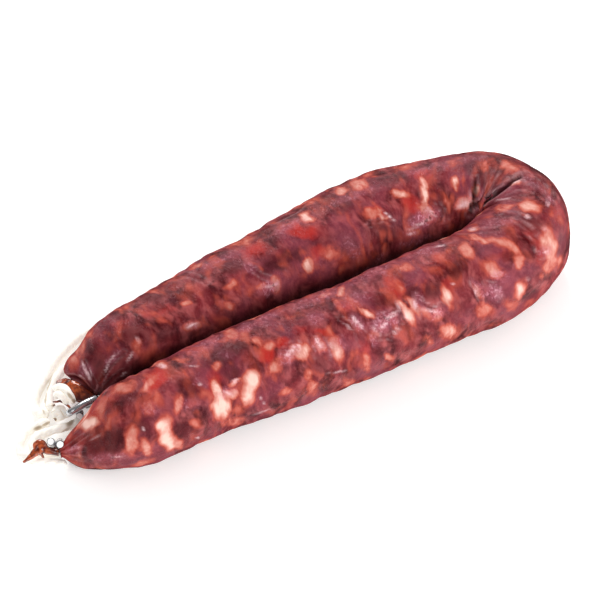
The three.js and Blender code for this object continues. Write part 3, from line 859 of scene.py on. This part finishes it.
def foldAmounts(tree, places, pixels):
    amounts = np.zeros(len(places))
    lipHighlights = np.zeros(len(places))
    start = camera.location
    for half, depth, points in folds:
        line = np.array(points, dtype=float)
        hits = [tree.ray_cast(start, pixelRay(x, y))[0] for x, y in points]
        hits = [np.array(hit) for hit in hits if hit is not None]
        if not hits:
            continue
        middle = np.mean(hits, axis=0)
        reach = max(np.linalg.norm(hit - middle) for hit in hits) + foldShape["spare"]
        near = np.linalg.norm(places - middle, axis=1) < reach
        spots = pixels[near]
        best = np.full(len(spots), 1e9)
        for first, last in zip(line[:-1], line[1:]):
            stretch = last - first
            share = np.clip(((spots - first) @ stretch) / (stretch @ stretch), 0.0, 1.0)
            best = np.minimum(best, np.linalg.norm(spots - first - share[:, None] * stretch, axis=1))
        ends = np.minimum(np.linalg.norm(spots - line[0], axis=1), np.linalg.norm(spots - line[-1], axis=1))
        endShare = foldShape["endShare"]
        taper = endShare + (1 - endShare) * smoothStep(0.0, foldShape["taper"], ends)
        side = best / half
        beside = np.exp(-((side - foldShape["raisedAt"]) / foldShape["raisedHalf"]) ** 2)
        profile = -np.exp(-side ** 2) + foldShape["raised"] * beside
        amounts[near] += depth * profile * taper
        lip = np.exp(-((side - foldLipHighlight["beside"]) / foldLipHighlight["half"]) ** 2) * taper
        lipHighlights[near] = np.maximum(lipHighlights[near], lip * min(foldLipHighlight["most"], depth * foldLipHighlight["strength"]))
    return amounts, lipHighlights


# The film lies crinkled on the meat in patches.
crinkle = {"size": (1.5, 1.5, 1.1), "height": 0.6, "seed": 5, "middle": 0.25, "stretch": 1.3}

# Painted shade: the colour is darkened in deep folds, in the crease between the arms and along the foot of
# the meat.
# The crease darkens a wider stretch on its far side, which starts beyond a nearly level line.
paintedShadeAreas = {
    "foldShare": 0.9,
    "creaseFrom": 0.8,
    "farSideFrom": (-1.5, -0.01),
    "farReach": 11.5,
    "nearReach": 4.5,
    "creaseHeights": (13.0, 28.0),
    "footShadow": 0.85,
    "footHeights": (1.8, 6.2),
}
shownFades = {"facing": 0.35, "fromGround": (0.2, 2.0)}


def markSausage(piece):
    mesh = piece.data
    places = readPlaces(mesh)
    pixels = toPixels(places)
    tree = BVHTree.FromPolygons([tuple(p) for p in places], [tuple(f.vertices) for f in mesh.polygons])
    straight = straightPlaces(piece)
    shifts = [noiseOver(straight, wander["size"], seed) * wander["reach"] for seed in wander["seeds"]]
    wandered = pixels + np.stack(shifts, axis=-1)
    toCamera = unit(np.array(camera.location) - places)
    shown = smoothStep(0.0, shownFades["facing"], np.sum(readNormals(mesh) * toCamera, axis=1))
    for name, marks in (("fatMark", fatPieces), ("redMark", redPieces), ("darkAndShadeMark", darkMeatAndShade),
                        ("filmAndSheenMark", filmAndSheenPatches)):
        keepNumbers(mesh, name, markedAmounts(tree, places, wandered, marks, markStretch[name]) * shown)
    keepNumbers(mesh, "shownSide", shown)
    glints = markedAmounts(tree, places, pixels, glintMarks)
    folded, lipHighlights = foldAmounts(tree, places, pixels)
    foldShade = np.maximum(0.0, -folded) * shown
    raw = places * metre - onto
    beside = grooveDistance(raw[:, 0], raw[:, 1])
    level, slope = paintedShadeAreas["farSideFrom"]
    farSide = raw[:, 1] > level + raw[:, 0] * slope
    reach = np.where(farSide, paintedShadeAreas["farReach"], paintedShadeAreas["nearReach"])
    grooveShade = 1 - smoothStep(0.0, 1.0, (beside - paintedShadeAreas["creaseFrom"]) / reach)
    grooveShade = grooveShade * (1 - smoothStep(*paintedShadeAreas["creaseHeights"], raw[:, 2]))
    footShadow = paintedShadeAreas["footShadow"] * (1 - smoothStep(*paintedShadeAreas["footHeights"], raw[:, 2]))
    # Painted shade: darker colour in folds, in the crease and along the foot.
    shade = np.maximum(np.maximum(foldShade * paintedShadeAreas["foldShare"], grooveShade), footShadow)
    keepNumbers(mesh, "paintedShade", np.clip(shade, 0.0, 1.0))
    keepNumbers(mesh, "glintMark", np.maximum(glints, lipHighlights * (1 - grooveShade)) * shown)
    film = markedAmounts(tree, places, pixels, filmAndSheenPatches, crinkle["stretch"]) * shown
    ridged = np.abs(noiseOver(straight, crinkle["size"], crinkle["seed"]))
    amounts = folded * shown + (crinkle["middle"] - ridged) * crinkle["height"] * film
    low = smoothStep(*shownFades["fromGround"], places[:, 2] * metre)
    pushOut(piece, amounts * low)


markSausage(meat)
print("marks and folds placed")

# Where the string is soiled, and where shade between its strands and turns is painted, marked as the meat
# is.
stringStainsAndShade = [
    (55, 405, 3.5, 1.3, -15, 0.9), (60, 403.8, 3.5, 1.3, -5, 0.95), (64.5, 405, 3, 1.3, 25, 0.95),
    (68.5, 408.5, 3, 1.3, 35, 0.9), (38, 428, 5, 2.2, -20, 0.6), (46, 424, 6, 1.6, -28, 0.5),
    (55, 419.5, 2, 1.8, 0, 0.75), (70, 421, 7, 4, 110, 0.55), (61, 365, 6, 3, -20, 0.5),
    (49, 384, 9, 1.3, 110, 0.45), (45.5, 398, 8, 1.3, 95, 0.45), (43, 410, 6, 1.2, 70, 0.4),
    (70, 396, 5, 2, 50, 0.5), (74, 401, 4, 2, 50, 0.6), (66, 430, 8, 1.6, -30, 0.35),
    (52, 412, 5, 1.0, -30, 0.3), (62, 413, 6, 1.0, 60, 0.3),
]

# Painted shade: the string's underside is a little darker.
stringUnderShade = {"from": 0.35, "to": -0.6, "strength": 0.45}


def markStainsAndShade(pieces):
    for piece in pieces:
        places = readPlaces(piece.data)
        faced = readNormals(piece.data)[:, 2]
        under = 1 - smoothStep(stringUnderShade["to"], stringUnderShade["from"], faced)
        keepNumbers(piece.data, "under", under * stringUnderShade["strength"])
        faces = [tuple(face.vertices) for face in piece.data.polygons]
        tree = BVHTree.FromPolygons([tuple(place) for place in places], faces)
        keepNumbers(piece.data, "stainAndShade", markedAmounts(tree, places, toPixels(places), stringStainsAndShade))


markStainsAndShade(stringPieces)
print("string soiled")


# The casing tails, crumpled films drawn out from under the clips.
frontTail = {
    "node": "casing_tail_near",
    "route": [(-92.3, -14, 5.5), (-93.3, -13.2, 5.5), (-94.9, -12, 5.7), (-96.4, -10.6, 6.1),
              (-98.2, -10.5, 5.4), (-100.4, -10.9, 4.5), (-102.8, -11.2, 3.9)],
    "upright": (0.15, 0.65, 0.74),
    "wide": [(0, 1.15), (0.35, 1.15), (0.47, 1.7), (0.7, 1.2), (1, 0.4)],
    "tall": [(0, 1.1), (0.32, 1.1), (0.45, 2.7), (0.52, 2.5), (0.6, 1.2), (0.75, 0.8), (1, 0.35)],
    "folds": 5,
    "dark": 0.3,
}

backTail = {
    "node": "casing_tail_far",
    "route": [(-76.3, -3.3, 8.2), (-76.8, -1.5, 8.7), (-78.2, 0.8, 9.2), (-79.8, 3.9, 9.1),
              (-81, 7.1, 8.6), (-82.1, 9.9, 8)],
    "upright": (0, 0, 1),
    "wide": [(0, 2.6), (0.1, 2.8), (0.22, 2.7), (0.45, 2.9), (0.7, 2.3), (0.9, 1.8), (1, 0.9)],
    "tall": [(0, 1.4), (0.12, 1.8), (0.26, 2.1), (0.42, 2.6), (0.6, 2.8), (0.8, 2.3), (1, 0.8)],
    "folds": 4,
    "dark": 0.85,
}

tailMesh = {"rings": 120, "sides": 96, "foldDepth": 0.13, "foldTwist": 3, "fullFrom": 3,
            "crumple": 0.16, "crumpleSize": (1.6, 1.6, 2.6), "crumpleFrom": (0.05, 0.4),
            "darkUntil": (0.1, 0.5)}


def addTail(name, tail, seed):
    def reachOf(share, turn):
        depth = tailMesh["foldDepth"] * np.minimum(1, share * tailMesh["fullFrom"])
        ripple = 1 + depth * np.cos(turn * tail["folds"] + share * tailMesh["foldTwist"])
        return alongStations(tail["wide"], share) * ripple, alongStations(tail["tall"], share) * ripple

    route = measuredRoute(tail["route"])
    piece = routedTube(name, route, tailMesh["rings"], tailMesh["sides"], reachOf, tail["upright"])
    straight = straightPlaces(piece)
    ridged = 0.5 - np.abs(noiseOver(straight, tailMesh["crumpleSize"], seed)) * 2
    along = straight[:, 2] / lengthOf(route)
    pushOut(piece, ridged * tailMesh["crumple"] * smoothStep(*tailMesh["crumpleFrom"], along))
    atRoot = tail["dark"] * (1 - smoothStep(*tailMesh["darkUntil"], along))
    keepNumbers(piece.data, "atRoot", atRoot)
    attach(piece, "root")
    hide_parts(tail["node"])
    return piece


tails = [addTail("tail_near", frontTail, 11), addTail("tail_far", backTail, 12)]

# A thin tube in the casing tails' colours, laid between the wrap and the knot.
neckStrip = {
    "route": [(-86.8, 2.8, 8.5), (-85.8, 1.8, 9), (-85, 1.4, 9.3), (-83.8, -0.3, 9), (-83, -2.1, 8.2),
              (-82.8, -2.9, 7.5)],
    "radius": 0.42,
    "rings": 40,
    "sides": 12,
}


def addNeckStrip():
    def reachOf(share, turn):
        reach = neckStrip["radius"] * (0.5 + 0.5 * np.sin(share * math.pi))
        return reach, reach

    route = measuredRoute(neckStrip["route"])
    piece = routedTube("neck_strip", route, neckStrip["rings"], neckStrip["sides"], reachOf)
    keepNumbers(piece.data, "atRoot", np.zeros(len(piece.data.vertices)))
    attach(piece, "root")
    return piece


tails.append(addNeckStrip())
print("casing tails crumpled")

# The two wire clips, bent from round aluminium wire with cut ends.
wire = {"radius": 1.15, "sides": 32, "rings": 140, "bevel": 0.28, "flat": 0.1, "shadedRim": 0.45}

frontClip = {
    "neck": (-92.6, -13.5),
    "along": (-0.91, 0.41),
    "turns": [(0.5, 9.6, 1.6), (1.5, 8.4, 1.6), (2.5, 7, 1.5), (2.85, 5.6, 1.3), (2.75, 4.8, 0.1),
              (2.8, 5.6, -0.85), (2.1, 7.4, -0.9), (0.6, 8.6, -1), (-1, 9.8, -1.2)],
}

backClip = {
    "route": [(-81.4, -4.5, 6.4), (-80.7, -3.3, 5.9), (-80.6, -2, 5.6), (-81.3, -1.1, 5.5),
              (-82.4, -1.2, 5.9), (-83.6, -2.2, 7), (-84, -3.6, 8.5), (-82.4, -4.2, 9.7),
              (-79.6, -4.1, 10.3), (-77, -3.8, 10.3), (-74.9, -3.3, 9.9)],
}


def addClip(name, node, points):
    route = measuredRoute(points)
    total = lengthOf(route)

    def reachOf(share, turn):
        fromEnd = np.minimum(share, 1 - share) * total
        cut = np.clip(1 - fromEnd / wire["bevel"], 0.0, 1.0)
        reach = wire["radius"] - wire["bevel"] * (1 - np.sqrt(1 - cut * cut))
        return reach, reach

    piece = routedTube(name, route, wire["rings"], wire["sides"], reachOf)
    straight = straightPlaces(piece)
    fromEnd = np.minimum(straight[:, 2], total - straight[:, 2])
    fromMiddle = np.hypot(straight[:, 0], straight[:, 1])
    flatReach = wire["radius"] - wire["bevel"] / 2
    # The flat cut face is kept for a painted highlight, its bevelled rim for painted shade.
    keepNumbers(piece.data, "cutEndHighlight", (fromEnd < wire["flat"]) & (fromMiddle < flatReach))
    keepNumbers(piece.data, "endShadedRim", (fromEnd < wire["shadedRim"]) & (fromMiddle >= flatReach))
    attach(piece, "root")
    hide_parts(node)
    return piece


def frontClipPoints():
    neck, along = frontClip["neck"], frontClip["along"]
    across = (along[1], -along[0])
    return [(neck[0] + across[0] * a + along[0] * t, neck[1] + across[1] * a + along[1] * t, z)
            for a, z, t in frontClip["turns"]]


clips = [addClip("wire_clip_near", "clip_near", frontClipPoints()),
         addClip("wire_clip_far", "clip_far", backClip["route"])]
print("clips bent")


# The meat seen through its casing: lean of several reds, and fat that shows orange at its edges.
meatLook = {
    "wine": colour(116, 36, 42),
    "dark": colour(64, 8, 15),
    "bright": colour(168, 83, 83),
    "dusky": colour(129, 56, 70),
    "red": colour(176, 42, 34),
    "shade": colour(48, 5, 10),
    # The film's pale pink haze and threads are partly its own colour and partly a painted sheen.
    "sheenHaze": colour(174, 94, 110),
    "film": colour(214, 146, 162),
    # A painted highlight.
    "glint": colour(250, 214, 218),
    "fatEdge": colour(184, 77, 60),
    "fatMiddle": colour(206, 137, 123),
    "fatHeart": colour(244, 196, 182),
    # Painted shade in folds, in the crease between the arms and along the foot.
    "paintedShade": colour(36, 6, 10),
}


# The patterns on the meat: scales per millimetre, how far each is moved, detail and roughness.
mosaicNoise = {
    "slow": ((0.06, 0.06, 0.08), (0, 0, 0), 1.0, 0.5),
    "patch": ((0.13, 0.13, 0.2), (5, 1, 2), 2.0, 0.5),
    "spot": ((0.22, 0.22, 0.36), (9, 4, 3), 2.0, 0.5),
    "grain": ((0.6, 0.6, 0.9), (2, 7, 4), 3.0, 0.55),
    "fleck": ((0.14, 0.14, 0.22), (1, 6, 8), 2.0, 0.45),
    "lump": ((0.1, 0.1, 0.18), (7, 3, 5), 2.0, 0.4),
}
netNoise = ((0.8, 0.8, 1.0), (4, 4, 4), 2.0, 0.6, 0.8)

# Where each pattern or mark starts and is full, and the shares that it gives there.
mosaicRanges = {
    "patch": (0.31, 0.66),
    "spot": (0.42, 0.78, 0.0, 0.9),
    "slow": (0.45, 0.7, 0.0, 0.68),
    "lightGrain": (0.45, 0.8, 0.0, 0.35),
    "darkGrain": (0.48, 0.2, 0.0, 0.35),
    "redMark": (0.1, 1.0, 0.0, 0.85),
    "darkAndShadeMark": (0.1, 1.0, 0.0, 0.8),
    "fleck": (0.48, 0.84),
    "lump": (0.5, 0.84),
    "shown": (0.0, 1.0, 1.0, 0.52),
    "fatMark": (0.0, 0.4),
    "fatEdge": (0.0, 0.55),
    "fatMiddle": (0.3, 0.8),
    "fatHeart": (0.65, 1.05),
    "threads": (0.5, 0.7),
    "holes": (0.42, 0.32),
    "paintedShade": (0.0, 1.0, 0.0, 0.75),
    "glint": (0.35, 0.6, 0.45, 1.0),
}
mosaicWarp = {"scale": 0.11, "detail": 1.0, "reach": 5.0}
mosaicShares = {"spread": 0.8, "torn": 0.4, "sheenHaze": 0.6, "threads": 0.75, "holes": 0.7}


def meatGroup():
    names = ("Fat Mark", "Red Mark", "Dark And Shade Mark", "Film And Sheen Mark", "Glint Mark", "Shown", "Painted Shade")
    marks = [(name, "NodeSocketFloat") for name in names]
    group, takes, gives = newGroup("meat_mosaic", [("Place", "NodeSocketVector")] + marks,
                                   [("Colour", "NodeSocketColor"), ("Fat", "NodeSocketFloat")])
    place, fatMark, redMark, darkAndShadeMark, filmAndSheenMark, glintMark, shown, paintedShade = takes.outputs[:8]
    warp = addNode(group, "ShaderNodeTexNoise", {"Vector": place, "Scale": mosaicWarp["scale"],
                                                 "Detail": mosaicWarp["detail"]})
    centred = addNode(group, "ShaderNodeVectorMath", {0: warp.outputs["Color"], 1: (0.5, 0.5, 0.5)},
                      operation="SUBTRACT")
    shift = addNode(group, "ShaderNodeVectorMath", {0: centred.outputs[0], 3: mosaicWarp["reach"]},
                    operation="SCALE")
    warped = addNode(group, "ShaderNodeVectorMath", {0: place, 1: shift.outputs[0]}, operation="ADD")

    def pattern(key):
        return patterned(group, warped.outputs[0], *mosaicNoise[key])

    def share(key, value):
        return ranged(group, value, *mosaicRanges[key])

    def counted(operation, first, second, third=0.0):
        return calculated(group, operation, first, second, third)

    def into(base, amount, look):
        return mixed(group, amount, base, meatLook[look])

    slow, patch, spot, grain = (pattern(key) for key in ("slow", "patch", "spot", "grain"))
    lean = into(meatLook["dark"], share("patch", patch), "wine")
    lean = into(lean, share("spot", spot), "bright")
    lean = into(lean, share("slow", slow), "dusky")
    lean = into(lean, share("lightGrain", grain), "bright")
    lean = into(lean, share("darkGrain", grain), "dark")

    spread = counted("MULTIPLY", counted("SUBTRACT", spot, 0.5), mosaicShares["spread"])
    torn = counted("MULTIPLY_ADD", counted("SUBTRACT", grain, 0.5), mosaicShares["torn"], spread)
    lean = into(lean, share("redMark", counted("ADD", redMark, spread)), "red")
    # Dark marks give darker meat and painted shade.
    lean = into(lean, share("darkAndShadeMark", counted("ADD", darkAndShadeMark, spread)), "shade")

    fat = counted("MAXIMUM", share("fleck", pattern("fleck")), share("lump", pattern("lump")))
    fat = counted("MULTIPLY", fat, share("shown", shown))
    ragged = counted("MULTIPLY_ADD", torn, share("fatMark", fatMark), fatMark)
    fat = counted("MAXIMUM", fat, ragged)
    soft = lean
    for look in ("fatEdge", "fatMiddle", "fatHeart"):
        soft = into(soft, share(look, fat), look)

    # A pale pink haze on film patches, partly the film's colour and partly a painted sheen.
    soft = into(soft, counted("MULTIPLY", filmAndSheenMark, mosaicShares["sheenHaze"]), "sheenHaze")
    net = patterned(group, place, *netNoise)
    for key, look in (("threads", "film"), ("holes", "shade")):
        covered = counted("MULTIPLY", share(key, net), filmAndSheenMark)
        soft = into(soft, counted("MULTIPLY", covered, mosaicShares[key]), look)
    # Painted shade in folds, in the crease and along the foot.
    soft = into(soft, share("paintedShade", paintedShade), "paintedShade")
    # Painted highlights on wet wrinkles and along fold lips.
    soft = into(soft, counted("MULTIPLY", glintMark, share("glint", net)), "glint")
    group.links.new(soft, gives.inputs["Colour"])
    group.links.new(fat, gives.inputs["Fat"])
    return group


# The film's waves and fine ridges, their shares of its height, and where it turns glossy.
casingNoise = {
    "wide": ((0.35, 0.35, 0.5), (0, 0, 0), 4.0, 0.6, 0.4),
    "fine": ((1.5, 1.5, 2.2), (4, 2, 9), 4.0, 0.6, 0.3),
    "wideShare": 0.8,
    "ridgeShare": 0.7,
    "gloss": (0.3, 0.7),
}


def casingGroup():
    group, takes, gives = newGroup("casing_film", [("Place", "NodeSocketVector")],
                                   [("Height", "NodeSocketFloat"), ("Gloss", "NodeSocketFloat")])
    place = takes.outputs["Place"]
    wide = patterned(group, place, *casingNoise["wide"])
    fine = patterned(group, place, *casingNoise["fine"])
    ridge = calculated(group, "ABSOLUTE", calculated(group, "SUBTRACT", fine, 0.5))
    ridge = calculated(group, "MULTIPLY", ridge, casingNoise["ridgeShare"])
    height = calculated(group, "MULTIPLY_ADD", wide, casingNoise["wideShare"], ridge)
    group.links.new(height, gives.inputs["Height"])
    group.links.new(ranged(group, wide, *casingNoise["gloss"]), gives.inputs["Gloss"])
    return group


mosaic = meatGroup()
film = casingGroup()

casingLook = {
    "bump": (0.75, 0.0005),
    "roughness": (0.44, 0.24),
    "turnedAway": (0.3, 0.8),
    "hollowDull": (0.0, 0.6),
    "specular": 0.23,
    "specularTint": (1.0, 0.45, 0.52, 1.0),
}


def meatMaterial():
    material, tree, skin = newMaterial("cured_meat_casing_look")
    place = readKept(tree, "straightPlace", "Vector")
    inputs = {"Place": place}
    for socket, name in (("Fat Mark", "fatMark"), ("Red Mark", "redMark"), ("Dark And Shade Mark", "darkAndShadeMark"),
                         ("Film And Sheen Mark", "filmAndSheenMark"), ("Glint Mark", "glintMark"),
                         ("Shown", "shownSide"), ("Painted Shade", "paintedShade")):
        inputs[socket] = readKept(tree, name)
    seen = useGroup(tree, mosaic, inputs)
    sheen = useGroup(tree, film, {"Place": place})
    rough = ranged(tree, sheen["Gloss"], 0.0, 1.0, *casingLook["roughness"])
    facing = addNode(tree, "ShaderNodeLayerWeight", {"Blend": 0.5}).outputs["Facing"]
    turned = ranged(tree, facing, *casingLook["turnedAway"])
    sunken = ranged(tree, inputs["Painted Shade"], *casingLook["hollowDull"])
    dull = calculated(tree, "MAXIMUM", turned, sunken)
    feed(tree, skin, {
        "Base Color": seen["Colour"],
        "Normal": bumped(tree, sheen["Height"], *casingLook["bump"]),
        "Roughness": calculated(tree, "MAXIMUM", rough, dull),
        "Specular IOR Level": casingLook["specular"],
        "Specular Tint": casingLook["specularTint"],
    })
    return material


tailLook = {
    "dark": colour(92, 24, 14),
    "light": colour(196, 90, 44),
    "root": colour(58, 12, 12),
    "cloudScale": 0.6,
    "cloudDetail": 3.0,
    "cloud": (0.38, 0.7),
    "bump": (0.6, 0.0003),
}


def tailMaterial():
    material, tree, skin = newMaterial("empty_casing_look")
    place = readKept(tree, "straightPlace", "Vector")
    sheen = useGroup(tree, film, {"Place": place})
    clouded = noised(tree, place, tailLook["cloudScale"], tailLook["cloudDetail"])
    cloud = ranged(tree, clouded, *tailLook["cloud"])
    thin = mixed(tree, cloud, tailLook["dark"], tailLook["light"])
    feed(tree, skin, {
        "Base Color": mixed(tree, readKept(tree, "atRoot"), thin, tailLook["root"]),
        "Normal": bumped(tree, sheen["Height"], *tailLook["bump"]),
        "Roughness": 0.22,
        "Coat Weight": 0.5,
        "Coat Roughness": 0.15,
    })
    return material


wireLook = {
    "dark": colour(196, 200, 206),
    "light": colour(232, 234, 238),
    # The wire's rim is painted shade and its cut end a painted highlight.
    "shadedRim": colour(64, 66, 70),
    "cut": colour(255, 255, 255),
    "drawn": ((6.0, 6.0, 0.25), (0, 0, 0), 3.0),
    "roughness": (0.3, 0.7, 0.16, 0.3),
    "metallic": (0.0, 1.0, 0.78, 0.0),
    "bump": (0.2, 0.00005),
}


def wireMaterial():
    material, tree, skin = newMaterial("aluminium_wire_look")
    place = readKept(tree, "straightPlace", "Vector")
    drawnLines = patterned(tree, place, *wireLook["drawn"])
    wireTint = mixed(tree, drawnLines, wireLook["dark"], wireLook["light"])
    # The cut end is painted white as a highlight and its rim dark as painted shade.
    cutEndHighlight = readKept(tree, "cutEndHighlight")
    ringed = mixed(tree, readKept(tree, "endShadedRim"), wireTint, wireLook["shadedRim"])
    feed(tree, skin, {
        "Base Color": mixed(tree, cutEndHighlight, ringed, wireLook["cut"]),
        "Roughness": ranged(tree, drawnLines, *wireLook["roughness"]),
        "Metallic": ranged(tree, cutEndHighlight, *wireLook["metallic"]),
        "Normal": bumped(tree, drawnLines, *wireLook["bump"]),
    })
    return material


stringLook = {
    "shadow": colour(244, 236, 222),
    "light": colour(255, 254, 251),
    "under": colour(206, 196, 180),
    "soiledAndShaded": colour(206, 190, 166),
    "darkStainAndShade": colour(112, 56, 42),
    "paintedGlow": colour(255, 250, 240),
    "noGlow": colour(0, 0, 0),
    "fibres": ((3.0, 3.0, 1.1), (0, 0, 0), 5.0, 0.7, 0.6),
    "fibreTint": (0.3, 0.7),
    "soiledAndShadedFrom": (0.0, 0.5),
    "darkStainAndShadeFrom": (0.4, 0.9),
    "glowUntil": (0.0, 0.6),
    "bump": (0.5, 0.0003),
}


def stringMaterial():
    material, tree, skin = newMaterial("cotton_string_look")
    place = readKept(tree, "straightPlace", "Vector")
    fibres = patterned(tree, place, *stringLook["fibres"])
    tinted = ranged(tree, fibres, *stringLook["fibreTint"])
    tint = mixed(tree, tinted, stringLook["shadow"], stringLook["light"])
    # Painted shade on the string's underside.
    shadedRim = mixed(tree, readKept(tree, "under"), tint, stringLook["under"])
    # Stains, partly real soiling and partly painted shade between strands and turns.
    stainAndShade = readKept(tree, "stainAndShade")
    soiledAndShaded = mixed(tree, ranged(tree, stainAndShade, *stringLook["soiledAndShadedFrom"]), shadedRim, stringLook["soiledAndShaded"])
    # The string glows faintly, painted light that lightens its shade, less where stains and shade are
    # painted.
    paintedGlow = ranged(tree, stainAndShade, *stringLook["glowUntil"])
    feed(tree, skin, {
        "Base Color": mixed(tree, ranged(tree, stainAndShade, *stringLook["darkStainAndShadeFrom"]), soiledAndShaded,
                            stringLook["darkStainAndShade"]),
        "Emission Color": mixed(tree, paintedGlow, stringLook["paintedGlow"], stringLook["noGlow"]),
        "Emission Strength": 0.17,
        "Normal": bumped(tree, fibres, *stringLook["bump"]),
        "Roughness": 0.92,
        "Specular IOR Level": 0.15,
        "Sheen Weight": 0.5,
    })
    return material


def dress(pieces, material):
    for piece in pieces:
        piece.data.materials.clear()
        piece.data.materials.append(material)


dress([meat], meatMaterial())
dress(tails, tailMaterial())
dress(clips, wireMaterial())
dress(stringPieces, stringMaterial())
print("materials dressed")

# The ground and the light.
studio = {
    "groundSize": 6.0,
    "groundTint": (238, 238, 237),
    "groundGlow": 0.335,
    "air": 0.58,
    "mirroredAir": 0.08,
    "lamps": [
        {"name": "right_softbox", "place": (0.6, -1.1, 0.6), "size": 0.7, "power": 14.5},
        {"name": "back_softbox", "place": (0.25, 0.9, 0.9), "size": 0.45, "power": 12.0},
        {"name": "left_softbox", "place": (-0.9, -0.55, 0.6), "size": 0.2, "power": 0.9},
    ],
}


def addGround():
    form = bmesh.new()
    bmesh.ops.create_grid(form, x_segments=1, y_segments=1, size=studio["groundSize"] / 2)
    mesh = bpy.data.meshes.new("white_ground")
    form.to_mesh(mesh)
    form.free()
    ground = bpy.data.objects.new("white_ground", mesh)
    scene.collection.objects.link(ground)
    material, tree, skin = newMaterial("white_ground_look")
    feed(tree, skin, {
        "Base Color": colour(*studio["groundTint"]),
        "Roughness": 0.8,
        "Specular IOR Level": 0.1,
        "Emission Color": (1.0, 1.0, 1.0, 1.0),
        "Emission Strength": studio["groundGlow"],
    })
    mesh.materials.append(material)


def addLight():
    world = bpy.data.worlds.new("studio_air")
    world.use_nodes = True
    tree = world.node_tree
    mirrored = addNode(tree, "ShaderNodeLightPath").outputs["Is Glossy Ray"]
    inputs = {0: mirrored, 3: studio["air"], 4: studio["mirroredAir"]}
    strength = addNode(tree, "ShaderNodeMapRange", inputs)
    tree.nodes["Background"].inputs[0].default_value = (1.0, 1.0, 1.0, 1.0)
    tree.links.new(strength.outputs[0], tree.nodes["Background"].inputs[1])
    scene.world = world
    for lamp in studio["lamps"]:
        light = bpy.data.lights.new(lamp["name"], "AREA")
        light.energy = lamp["power"]
        light.size = lamp["size"]
        holder = bpy.data.objects.new(lamp["name"], light)
        scene.collection.objects.link(holder)
        holder.location = lamp["place"]
        holder.rotation_euler = (-Vector(lamp["place"])).to_track_quat("-Z", "Y").to_euler()
    scene.view_settings.view_transform = "Standard"
    scene.view_settings.look = "None"


addGround()
addLight()
print("studio lit")
